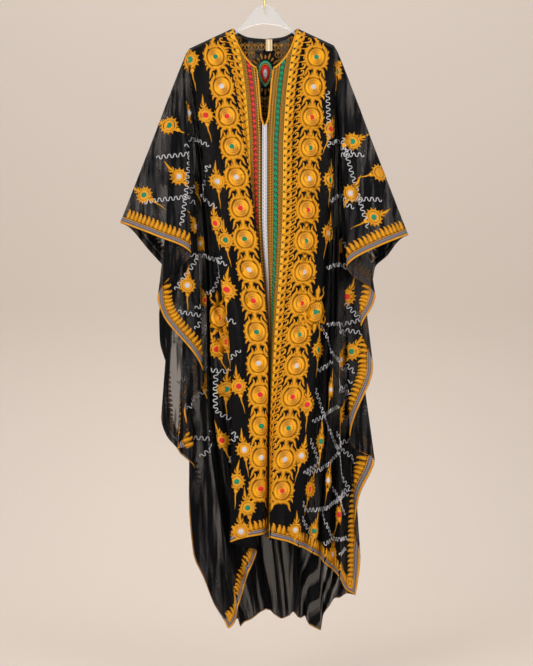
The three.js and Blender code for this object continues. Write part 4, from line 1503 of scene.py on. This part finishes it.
def table_spots(rows):
    """Spots and eyes of motifs listed by where they hang."""
    spots = []
    for x, z, lean, colour, size in rows:
        flat_x, flat_y, turn = seen_at(x, z)
        spots.append((flat_x, flat_y, turn + math.radians(lean), SUN_SIZE * size, colour))
    return spots


print("suns listed:", len(SUNS), "large medallions:", len(LARGE))

# %% Running waves
# Waves that show from the front, by the x and z of the corners they pass.
WAVE_LINES = [
    [(-137, -477), (-155, -560), (-92, -585)], [(-170, -702), (-80, -727)],
    [(-132, -370), (-137, -477)], [(-200, -430), (-137, -425)],
    [(-120, -702), (-130, -785), (-170, -835)], [(-112, -850), (-70, -875)],
    [(-187, -980), (-90, -985), (-62, -935)], [(-117, -992), (-132, -1085), (-87, -1102)],
    [(-87, -1102), (-60, -1155), (-88, -1215), (-58, -1265), (-85, -1320), (-58, -1360)],
    [(152, -295), (160, -435)], [(112, -435), (222, -442)], [(127, -575), (222, -582)],
    [(135, -732), (205, -732)], [(125, -860), (162, -935), (205, -1042)],
    [(162, -867), (245, -892)], [(107, -1002), (167, -967)],
    [(107, -1002), (142, -1092), (180, -1192), (207, -1292)], [(92, -1127), (187, -1072)],
    [(92, -1127), (132, -1210), (62, -1252), (100, -1335)],
    [(62, -1252), (155, -1217), (180, -1192)], [(100, -1335), (150, -1327), (207, -1285)],
    [(100, -1340), (130, -1427), (170, -1405), (220, -1402)], [(142, -1335), (170, -1405)],
]
LATTICE_FROM, LISTED_FROM = 158, 152  # the bands and medallions take up the middle
LATTICE_MARGIN, LISTED_MARGIN = 50, 40
WAVE_LINES_OUT = 300  # on the front the listed ones reach this far from the centre line


def waves_along(px, py):
    """One wave after another along a path on the cut."""
    path = np.stack([px, py], axis=1)
    length = running(path)[-1]
    ends = np.linspace(0, length, max(round(length / WAVE_LENGTH), 1) + 1)
    path = resampled(path, ends)
    dx, dy = np.diff(path, axis=0).T
    return list(zip(*path[:-1].T, np.arctan2(-dy, dx), np.hypot(dx, dy) / WAVE_LENGTH))


def lattice(face, low=None):
    """Waves along each side of each field; mid front, along the listed lines instead."""
    spots, t = [], np.linspace(0, 1, 41)
    for side, sign in SIGN.items():
        for x, y in crossings(side):
            for down in (-1, 1):
                py = y + down * FIELD[1] * t
                spots += waves_along(spread(x + sign * FIELD[0] * t, py), py)
    spots = np.array(spots)
    spots = kept(face, spots[np.abs(spots[:, 0]) > LATTICE_FROM], LATTICE_MARGIN, low)
    if face == "front":
        spots = spots[np.abs(spots[:, 0]) > WAVE_LINES_OUT]
        listed = [
            spot for line in WAVE_LINES
            for spot in waves_along(*np.array([seen_at(x, z)[:2] for x, z in line]).T)
        ]
        listed = [s for s in listed if LISTED_FROM < abs(s[0])]
        spots = np.concatenate([spots, kept(face, listed, LISTED_MARGIN, low)])
    return spots[~in_plain_part(face, spots[:, 0], spots[:, 1])]


print("waves on the front:", len(lattice("front")))

# %% Suns in the fields
SUNS_FROM, SUN_MARGIN, SUNS_APART = 165, 62, 92
EYE_COLOURS = ("green", "white", "red")


def suns(face, low=None):
    """The listed suns, and one for each field of the lattice that has none yet."""
    listed = table_spots(SUNS) if face == "front" else []
    taken = np.array([s[:2] for s in listed + (table_spots(LARGE) if listed else [])])
    spots = {side: [s for s in listed if (s[0] < 0) == (side == "left")] for side in SIGN}
    for side, sign in SIGN.items():
        free = np.array(crossings(side)) + (0, FIELD[1])
        free[:, 0] = spread(*free.T)
        free = kept(face, free[np.abs(free[:, 0]) > SUNS_FROM], SUN_MARGIN, low)
        for x, y in free[~in_plain_part(face, free[:, 0], free[:, 1])]:
            if len(taken) and np.hypot(*(taken - (x, y)).T).min() < SUNS_APART:
                continue
            tilt = sign * -(0.30 + 0.22 * math.sin(0.37 * x + 0.23 * y))  # as if by hand
            spots[side].append((x, y, tilt, 1, EYE_COLOURS[len(spots[side]) % 3]))
    return spots


print("suns on the back:", {side: len(spots) for side, spots in suns("back").items()})

# %% Columns of medallions
MEDALLION_PITCH, MEDALLION_TOP, MEDALLION_SIZE = 77.5, 53, 1.05
COLUMN_U, COLUMN_MARGIN = 126, 30
FOLLOW = 0.4  # how far the columns lean out with the bands
LOWEST = 1215  # how far down the cut the medallions and scales go


def flare(v):
    """How far the bands lean out with the neck's edge and the slit, at a drop v."""
    return curve([0, 60, 96, 180, 285], [36, 22, 15.5, 6, 0], np.asarray(v, float))


def medallion_column(sign):
    drops = MEDALLION_TOP + MEDALLION_PITCH * np.arange(16)
    x, y = on_sheet("front", sign * (COLUMN_U + FOLLOW * flare(drops)), drops)
    leans = np.arctan2(np.gradient(x), np.gradient(y))
    column_spots = [(*spot, MEDALLION_SIZE, EYE_COLOURS[k % 3])
                    for k, spot in enumerate(zip(x, y, leans))]
    return [s for s in column_spots
            if clear_of_edge("front", s[0], s[1])[0] > COLUMN_MARGIN and s[1] < LOWEST]


medallion_spots = medallion_column(-1) + medallion_column(1)
print("medallions:", len(medallion_spots))


# %% Large medallion with leaves
def large_medallion():
    parts = both_sides(arc(25, -80, 80, 12), [1.6, *[3.2] * 10, 1.6], 0.8)
    parts += both_sides(bent([(4, 27), (13, 33), (20, 42), (14, 50), (19, 57)], 8),
                        [3.4, 3.8, 3.6, 3.2, 2.8, 2.4, 1.6, 0.3], 0.8)
    parts.append(stroke([(0, 25), (0, 36), (0, 46), (0, 58)], [5, 4, 5.4, 0.3], 0.8))
    parts += both_sides(bent([(20, -18), (31, -22), (34, -12), (28, -6)], 7),
                        [4.2, 4.0, 3.4, 3.0, 2.4, 1.8, 0.4], 0.8)
    parts += both_sides(bent([(8, -26), (16, -36), (28, -38), (32, -30)], 7),
                        [4.2, 4.2, 3.6, 3.2, 2.6, 1.8, 0.4], 0.8)
    parts.append(stroke([(0, -25), (0, -36), (0, -46)], [5, 4.4, 0.3], 0.8))
    parts += spikes(27.5, 6, 3.0, 0.6, 5, math.radians(150))
    return motif_object("large_medallion", parts)


LARGE_MEDALLION = large_medallion()
print("large medallion:", len(LARGE_MEDALLION.data.polygons), "faces")

# %% Sewing them on
DOWN_TO = {"front": None, "back": 1120}  # where waves and suns stop on the cut
EYES = [("green", GREEN, "green_trim"), ("white", WHITE, "silver_trim"), ("red", RED, "red_trim")]


def bare(spots):
    return [s[:4] for s in spots]


def sew_eyes(name, spots, cloth, lift):
    """Eyes in three colours; a spot whose eye is gold has none."""
    for colour, thread, slot in EYES:
        some = bare(s for s in spots if s[4] == colour)
        embroider(f"{name}_{colour}", EYE, some, cloth, thread, slot, lift=lift)


large_spots = table_spots(LARGE)
all_spots = medallion_spots + large_spots
for name, motif, spots, thread, lift in [
    ("medallions", MEDALLION, medallion_spots, GOLD, 0.5),
    ("large_medallions", LARGE_MEDALLION, large_spots, GOLD, 0.5),
    ("medallion_discs", DISC, all_spots, GOLD_DISC, 1.0),
]:
    embroider(name, motif, bare(spots), "front", thread, "gold_braid", lift)
sew_eyes("eyes", all_spots, "front", 1.7)
embroider("medallion_lines", RIM_LINE, bare(all_spots), "front", OLD_GOLD, "gold_braid", 1.8)
for face, low in DOWN_TO.items():
    where = suns(face, low)
    embroider(f"waves_{face}", WAVE, lattice(face, low), face, SILVER, "silver_trim")
    for side in SIGN:
        embroider(f"suns_{face}_{side}", SUN[side], bare(where[side]), face, GOLD, "gold_braid")
    both = where["left"] + where["right"]
    sew_eyes(f"sun_eyes_{face}", both, face, 1.1)
    embroider(f"sun_rings_{face}", SUN_RING, bare(both), face, DARK, "cloth", 1.2)
print("pieces so far:", len(SEWN))

# %% [markdown]
# ## Bands of the front
# Down both sides of the slit run flat bands: a silver zigzag braid in the middle, pierced
# gold, red and green ribbons, and outermost a gold band with leaf scales and curls. They
# could be painted on by the shader alone, but real braid is sewn on and has a thickness, so
# each is a low crowned strip that starts at the neck's edge and ends above the hem.


# %% A strip over the cut
def strip(rows_x, rows_y, crown):
    """A closed crowned strip from grids of flat points (rows along, columns across)."""
    rows = np.stack([rows_x, rows_y], axis=-1).astype(float)
    n, m = rows.shape[:2]
    t = np.linspace(-1, 1, m)
    run = running(rows[:, m // 2])
    wide = np.linalg.norm(rows[:, -1] - rows[:, 0], axis=1).mean()
    verts = [(x, -y, z) for level in (crown * (1 - t**4), 0 * t - 0.05)
             for row in rows for (x, y), z in zip(row, level)]
    uvs = [((s + 1) / 2 * wide, far) for far in run for s in t] * 2
    return verts, wall_faces(n, m, flipped=True).tolist(), uvs


ONE = [(0, 0, 0, 1)]
STRIP_LIFT = 0.3


def flipped(verts, faces, uvs):
    return verts, [face[::-1] for face in faces], uvs


def lay_strips(name, parts, cloth, material, slot, *nodes):
    """Lays whole strips on the cloth through the same tree: one copy, at the origin."""
    if cloth == "back":
        parts = [flipped([(-x, y, z) for x, y, z in verts], faces, uvs)
                 for verts, faces, uvs in parts]
    laid = embroider(name, motif_object(name, parts), ONE, cloth, material, slot, STRIP_LIFT)
    for node in nodes:
        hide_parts(node)
    return laid


def neck_drop(u, face="front"):
    table = NECK[face]
    return curve(column(table, 0), column(table, 1), np.abs(np.asarray(u, float)))


HEM_BORDER, BAND_CROWN = 16, 0.55


def below_neck(u, follow):
    """The drop at which a band's thread comes out from under the neck's cord."""
    v = 60.0
    for _ in range(40):
        place = abs(u) + follow * float(flare(v))
        v = mix(v, float(neck_drop(place)) + 5.5 if place < NECK_HALF else 7.0, 0.5)
    return v


def front_band(left, right, follow):
    us = np.linspace(left, right, 5)
    sign = math.copysign(1, left + right)
    start = np.array([below_neck(u, follow) for u in us])
    end = body_length("front", us) - HEM_BORDER
    v = start + np.linspace(0, 1, 190)[:, None] * (end - start)
    return strip(*on_sheet("front", us + sign * flare(v) * follow, v), BAND_CROWN)


BANDS = [  # name, edges on the cut, finish, slot, how far it follows the neck, CAD nodes
    ("silver_zigzag", -6.3, 6.3, SILVER_BRAID, "silver_trim", 0, "band_silver"),
    ("pierced_inner_left", -21, -8, PIERCED_GOLD, "gold_braid", 1),
    ("pierced_inner_right", 8, 23, PIERCED_GOLD, "gold_braid", 1),
    ("red_ribbon", -31.5, -22, RED_RIBBON, "red_trim", 1, "band_red"),
    ("green_ribbon", 24, 33.5, GREEN_RIBBON, "green_trim", 1, "band_green"),
    ("pierced_outer_left", -44.5, -32.5, PIERCED_GOLD, "gold_braid", 1),
    ("pierced_outer_right", 34.5, 46, PIERCED_GOLD, "gold_braid", 1),
    ("scaled_left", -58, -45, SCALE_GOLD, "gold_braid", 1, "band_gold_left"),
    ("scaled_right", 46.5, 60, SCALE_GOLD, "gold_braid", 1, "band_gold_right"),
]
for name, left, right, material, slot, follow, *nodes in BANDS:
    lay_strips(name, [front_band(left, right, follow)], "front", material, slot, *nodes)
print("bands laid:", len(BANDS))


# %% Scales and curls along the outer bands
SCALE_PITCH, SCALE_SIZE = 18, 1.45


def along_band(u, first):
    sign = math.copysign(1, u)
    v = first + SCALE_PITCH * np.arange(int((LOWEST - first) / SCALE_PITCH))
    x, y = on_sheet("front", u + sign * flare(v), v)
    lean = np.arctan2(np.gradient(x), np.gradient(y))
    return [(*spot, SCALE_SIZE) for spot in zip(x, y, lean)]


for side, u in (("left", -56), ("right", 58)):
    embroider(f"scales_{side}", SCALES[side], along_band(u, 12), "front", GOLD, "gold_braid", 0.6)
for side, u in (("left", -79), ("right", 81)):
    spots = kept("front", along_band(u, 20), 5)
    embroider(f"curls_{side}", CURL[side], spots, "front", GOLD, "gold_braid")
    print("curls on the", side, len(spots))

# %% [markdown]
# ## Borders
# Every free edge of the front, and the cuffs all round, carry the same border: a gold cord
# on the edge itself, a grey-lilac braid, a thin gold line, and a row of plump drops. The
# back's hem has only a thin cord. The border follows the outline of the cut.


# %% Edge paths
def directions(line, reach):
    """Unit directions along a line, evened out over its neighbours within reach."""
    way = np.gradient(line, axis=0)
    even = np.ones(2 * reach + 1) / (2 * reach + 1)
    way = np.stack([np.convolve(np.pad(values, reach, "edge"), even, "valid")
                    for values in way.T], axis=1)
    return way / np.linalg.norm(way, axis=1, keepdims=True)


EDGE_STEP = 6.0


def edge_path(face, wanted):
    """Evenly spaced points along part of the hem, with their inward directions."""
    line = OUTLINE[face][1][[wanted(c) for c in GRID[face]]]
    length = running(line)[-1]
    path = resampled(line, np.linspace(0, length, max(4, int(length / EDGE_STEP))))
    inward = directions(path, 3)[:, ::-1] * (1, -1)
    probe = path[len(path) // 2] + inward[len(path) // 2] * 8
    return path, inward * (1 if clear_of_edge(face, *probe)[0] > 0 else -1)


def offset_rows(path, inward, near, far, columns):
    """Two grids, of x and of y, of a strip beside a path."""
    offsets = np.linspace(near, far, columns)
    return [path[:, k, None] + inward[:, k, None] * offsets for k in (0, 1)]


def edge_strip(path, inward, near, far, crown):
    return strip(*offset_rows(path, inward, near, far, 3), crown)


def edge_spots(path, inward, offset, pitch):
    run = running(path)
    at = np.arange(pitch / 2, run[-1], pitch)
    place, way = resampled(path, at), interpolated(run, inward, at)
    turn = np.arctan2(-way[:, 1], way[:, 0]) - math.pi / 2
    return [(*p, t, 1.0) for p, t in zip(place + way * offset, turn)]


BACK_SIDE = 74  # angle on the back down to which the cuff's border goes
UNDER = (63, 71.5)  # angles of the left seam whose border lies behind the plain gore


def is_side(c):
    return c[0] != "body" and c[1] < BACK_SIDE


EDGES = {
    "front": [
        edge_path("front", lambda c: c[0] == "left" and c[1] < UNDER[0] + 0.2),
        edge_path("front", lambda c: not (c[0] == "left" and c[1] < UNDER[1])),
    ],
    "back": [
        edge_path("back", lambda c, side=side: c[0] == side and is_side(c)) for side in SIGN
    ],
}
PLAIN_EDGES = {
    "back": [edge_path("back", lambda c: not is_side(c))],
    "front": [edge_path("front", lambda c: c[0] == "left" and UNDER[0] < c[1] < UNDER[1])],
}
print("edge points of the front:", [len(path) for path, inward in EDGES["front"]])


# %% Border pieces
def strips(edges, near, far, crown):
    return [edge_strip(path, inward, near, far, crown) for path, inward in edges]


NODES_UNDER = {"front": ["cuff_braid_left", "cuff_braid_right", "hem_braid_front"], "back": []}
for face, edges in EDGES.items():
    cords = strips(edges, 0.6, 4.8, 0.9) + strips(edges, 13.6, 15.2, 0.5)
    lay_strips(f"edge_cord_{face}", cords, face, GOLD, "gold_braid", *NODES_UNDER[face])
    braid = strips(edges, 5.2, 13.2, 0.6)
    lay_strips(f"edge_braid_{face}", braid, face, LILAC_BRAID, "silver_trim")
    spots = [s for path, inward in edges for s in edge_spots(path, inward, 16.2, 12.2)]
    embroider(f"edge_drops_{face}", DROP, kept(face, spots, 12), face, GOLD, "gold_braid")
for name, edge, cloth, *sizes, nodes in [
    ("hem_cord", "back", "back", 0.4, 3.2, 0.7, ["hem_cord_back"]),
    ("side_cord", "front", "front", 0.4, 2.4, 0.6, []),
    ("hem_cord_inside", "back", "inside", 0.6, 3.0, 0.6, []),
]:
    cord = strips(PLAIN_EDGES[edge], *sizes)
    lay_strips(name, cord, cloth, OLD_GOLD, "gold_braid", *nodes)
print("borders done")


# %% Neck edge
NECK_STEP = 3.5


def neck_strip(face, near, far, crown):
    u = np.concatenate(
        [np.linspace(-80, -20, 26), np.linspace(-18.5, 18.5, 40), np.linspace(20, 80, 26)])
    line = np.stack([u, neck_drop(u, face)], axis=1)
    length = running(line)[-1]
    line = resampled(line, np.linspace(0, length, int(length / NECK_STEP)))
    outward_way = directions(line, 1)[:, ::-1] * (-1, 1)
    u, v = offset_rows(line, outward_way, near, far, 4)
    return strip(*on_sheet(face, u, np.maximum(v, 0.5)), crown)


for name, edge, cloth, *sizes, thread, slot, nodes in [
    ("neck_edge", "front", "front", 0.3, 5.2, 1.0, GOLD, "gold_braid", ["neck_braid"]),
    ("neck_edge_back", "back", "back", 0.3, 3.0, 0.7, DARK, "cloth", []),
    ("neck_fold_inside", "back", "inside", 0.6, 8.5, 1.2, DARK, "cloth", []),
]:
    lay_strips(name, [neck_strip(edge, *sizes)], cloth, thread, slot, *nodes)
print("neck edge done")

# %% [markdown]
# ## Inside of the neck
# Low inside the back hangs a drop-shaped medallion: a green ring with pale dots round a red
# drop, a cream eye, and gold petals all round. It is a generic one of its kind. Scrolls are
# worked on the outside of the back, so from the front they only glow dimly through.


# %% Drop medallion and scrolls
def drop_outline(width, height, n=26):
    """An egg that comes to a point at its foot."""
    a = np.linspace(0, 2 * math.pi, n, endpoint=False)
    y = height / 2 * np.cos(a)
    x = width / 2 * np.sin(a) * (0.80 + 0.26 * np.cos(a) - 0.08 * np.cos(2 * a))
    return np.stack([x, y], axis=1)


def drop_ring(inner, outer, crown):
    edges = drop_outline(*inner), drop_outline(*outer)
    return flipped(*ring_between(*edges, crown, 2.5, (0, 2, 4)))


def drop_disc(size, crown):
    rim = drop_outline(*size)
    n = len(rim)
    verts = [(*p, 0) for p in rim] + [(*(p * 0.6), crown * 0.8) for p in rim]
    faces = []
    for k, j in around(n):
        faces += [(k, n + k, n + j, j), (n + k, 2 * n, n + j), (j, 2 * n + 1, k)]
    return verts + [(0, 0, crown), (0, 0, 0)], faces, [tuple(p) for p in rim] * 2 + [(0, 0)] * 2


def petals():
    parts = []
    for k in range(22):
        a = k * 2 * math.pi / 22
        out = np.array([math.sin(a), math.cos(a)])
        base = out * (27, 37)
        tip = out * ((44, 54) if k % 2 else (38, 48))
        parts.append(stroke([base, mix(base, tip, 0.4), mix(base, tip, 0.8), tip],
                            [1.6, 3.4, 2.4, 0.3], 0.7))
    return parts


def scroll():
    parts = both_sides(bent([(0, -18), (9, -14), (14, -4), (10, 5), (4, 2), (6, -4)], 9),
                       [1, 1.8, 2.1, 2.2, 2.1, 2.0, 1.8, 1.5, 1.0], 0.6)
    parts += both_sides(bent([(0, -2), (4, 6), (11, 10), (13, 17)], 6),
                        [1.2, 2.4, 2.8, 2.2, 1.4, 0.3], 0.6)
    parts.append(stroke([(0, -18), (0, -6), (0, 6), (0, 18)], [1.2, 2.4, 3.4, 0.4], 0.7))
    return motif_object("scroll", parts)


SCROLL_SIZE = 0.56
HEART_DROP = 112
HEART = tuple(w.item() for w in on_sheet("back", 1, HEART_DROP))
DOTS = [disc(1.1, 0.4, 6, tuple(p)) for p in drop_outline(35.5, 59.5, 26)]
for name, parts, thread, slot, lift in [
    ("drop_green", [drop_ring((29, 49), (42, 68), 0.7)], GREEN, "green_trim", 0.5),
    ("drop_dots", DOTS, WHITE, "silver_trim", 1.2),
    ("drop_gold", [drop_ring((26.5, 46.5), (29.5, 50.5), 0.6)], GOLD, "gold_braid", 0.6),
    ("drop_red", [drop_disc((27, 47), 0.7)], RED, "red_trim", 0.5),
    ("drop_eye", [drop_disc((12, 25), 0.6)], WHITE, "silver_trim", 1.2),
    ("drop_pupil", [disc(2.0, 0.4, 8, (0, 1))], OLD_GOLD, "gold_braid", 2.0),
    ("small_red_disc", [disc(5.6, 0.7, 12, (-41, 30))], RED, "red_trim", 0.9),
    ("drop_petals", petals(), OLD_GOLD, "gold_braid", 0.5),
]:
    embroider(name, motif_object(name, parts), [(*HEART, 0, 1)], "inside", thread, slot, lift)
scroll_spots = {"back": [], "inside": []}
for row in range(12):
    for k in range(-5, 6):
        u, v = (k + 0.5 * (row % 2)) * 17, 24 + 19 * row
        place = (*(w.item() for w in on_sheet("back", u, v)), 0, SCROLL_SIZE)
        scroll_spots["back"].append(place)
        if math.hypot(u / 38, (v - HEART_DROP) / 52) > 1.1:
            scroll_spots["inside"].append(place)
SCROLL = scroll()
for face, thread in (("back", GOLD), ("inside", OLD_GOLD)):
    some = kept("back", scroll_spots[face], 9)
    embroider(f"scrolls_{face}", SCROLL, some, face, thread, "gold_braid")
print("inside of the neck done")

# %% [markdown]
# ## Label
# The label is a plain bare tab of cream cotton tape. Its CAD solid already has the right
# shape, so it only gets a finish: a ribbed weave, on Object coordinates.


# %% Label
def tape_finish():
    material = finish("cream cotton tape", (0.86, 0.74, 0.52), 0.8, Sheen_Weight=0.3)
    tree = material.node_tree
    weave = object_texture(tree, "ShaderNodeTexWave", {"Scale": 34, "Distortion": 0.6},
                           wave_type="BANDS", bands_direction="X")
    bump = make_node(tree, "ShaderNodeBump", dict(Distance=0.0002, Height=weave))
    tone = blended(tree, weave, (0.88, 0.80, 0.62, 1), (0.62, 0.44, 0.22, 1))
    return wire(material, Base_Color=tone, Normal=bump.outputs["Normal"])


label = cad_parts["neck_label"]
label.data.materials.clear()
label.data.materials.append(tape_finish())
print("label:", label.name)

# %% [markdown]
# ## Hanger
# The hanger is one piece of clear plastic with rounded edges: a hump over the hook, two
# hollow shoulders and two arms under the cloth. Its outline is drawn once and given a
# thickness and a bevel. The hook is a brass rod swept along a smooth path.


# %% Plate
PLATE = dict(thick=7, top=-75, arch_top=-120, arm_x=152, arm_half=8)


def arm_top(x):
    return NECK_Z - ROLL * 0.75 - (x - NECK_HALF * 0.9) * math.tan(ARM_SLOPE)


def bow(a, b, c, n=9):
    """A bent line from a to c, drawn towards b."""
    t = np.linspace(0, 1, n)[:-1, None]
    a, b, c = (np.array(p, float) for p in (a, b, c))
    return (1 - t) ** 2 * a + 2 * t * (1 - t) * b + t**2 * c


def plate_outline():
    top, arch, x = PLATE["top"], PLATE["arch_top"], PLATE["arm_x"]
    low = PLATE["arm_half"] * 2
    half = [bow((0, top), (18, top), (30, top - 14)),
            bow((30, top - 14), (46, top - 38), (74, arm_top(74))),
            [(74, arm_top(74))]]
    centre = (x, arm_top(x) - PLATE["arm_half"])
    a = np.linspace(0, math.pi, 9)[:, None]
    half.append(centre + PLATE["arm_half"] * np.concatenate([np.sin(a), np.cos(a)], axis=1))
    half.append(bow((84, arm_top(84) - low), (56, arch - 2), (0, arch), 12))
    right = np.concatenate([np.array(part, float) for part in half])
    left = right[1:][::-1] * (-1, 1)
    return np.concatenate([right, [(0, arch)], left])


def uneven_gloss(material, noise, spread_by, least):
    """Roughness that wanders between two values."""
    tree = material.node_tree
    flow = object_texture(tree, "ShaderNodeTexNoise", noise)
    return wire(material, Roughness=calc(tree, "MULTIPLY_ADD", flow, spread_by, least))


def clear_plastic():
    """Clear where it faces the viewer squarely, glossy and pale along its rounded edges."""
    material = finish("clear plastic", (0.96, 0.96, 0.97), 0.06, Coat_Weight=0.8,
                      Transmission_Weight=0.62, IOR=1.42)
    return uneven_gloss(material, {"Scale": 14}, 0.08, 0.03)


def make_plate():
    outline_points = plate_outline()
    mesh = bpy.data.meshes.new("plate")
    build = bmesh.new()
    y = PLATE["thick"] / 2
    front = [build.verts.new((x * MM, -y * MM, z * MM)) for x, z in outline_points]
    back = [build.verts.new((x * MM, y * MM, z * MM)) for x, z in outline_points]
    build.faces.new(front)
    build.faces.new(back[::-1])
    for k, j in around(len(front)):
        build.faces.new((front[j], front[k], back[k], back[j]))
    bmesh.ops.recalc_face_normals(build, faces=build.faces)
    rims = [e for e in build.edges if len({round(v.co.y, 5) for v in e.verts}) == 1]
    bmesh.ops.bevel(build, geom=rims, offset=2.2 * MM, segments=4, profile=0.5, affect="EDGES")
    bmesh.ops.triangulate(build, faces=[f for f in build.faces if len(f.verts) > 4])
    build.to_mesh(mesh)
    build.free()
    mesh.materials.append(clear_plastic())
    mesh.shade_smooth()
    return declare(add_object("plate", mesh), "clear_plate", "hanger_plate")


plate = make_plate()
print("plate:", len(plate.data.polygons), "faces")

# %% Hook
HOOK = dict(rod=6, ring=25, foot=-96, bend=-58)


def hook_path():
    ring_radius = HOOK["ring"] + HOOK["rod"] / 2
    centre = HOOK["rod"] / 2 - ring_radius
    points = [(0, z) for z in (HOOK["foot"], -80, -68, HOOK["bend"])] + [(8, HOOK["bend"] + 8)]
    for degrees in np.arange(-35, 200.1, 23.5):
        a = math.radians(degrees)
        points.append((ring_radius * math.cos(a), centre + ring_radius * math.sin(a)))
    return points


def make_hook():
    line = bpy.data.curves.new("hook_line", "CURVE")
    line.dimensions = "3D"
    line.bevel_depth = HOOK["rod"] / 2 * MM
    line.bevel_resolution = 5
    line.use_fill_caps = True
    spline = line.splines.new("BEZIER")
    points = hook_path()
    spline.bezier_points.add(len(points) - 1)
    for knot, (x, z) in zip(spline.bezier_points, points):
        knot.co = (x * MM, 0, z * MM)
        knot.handle_left_type = knot.handle_right_type = "AUTO"
    spline.resolution_u = 8
    mesh = plain_mesh(add_object("hook_maker", line))
    build = bmesh.new()
    build.from_mesh(mesh)
    bmesh.ops.remove_doubles(build, verts=build.verts, dist=1e-6)
    bmesh.ops.recalc_face_normals(build, faces=build.faces)
    build.to_mesh(mesh)
    build.free()
    mesh.shade_smooth()
    return add_object("hook", mesh)


hook = make_hook()
brass = finish("polished brass", (0.78, 0.56, 0.22), 0.2, 1.0)
hook.data.materials.append(uneven_gloss(brass, {"Scale": 180, "Detail": 4}, 0.22, 0.12))
declare(hook, "hook_metal", "hanger_hook")
print("hook:", len(hook.data.polygons), "faces")

# %% [markdown]
# ## Last steps
# The flat motifs and the helper sheets have done their work and go. The frame takes over
# what is left.

# %% Finish
for helper in [*MAKING, *CARRIERS.values()]:
    bpy.data.objects.remove(helper)
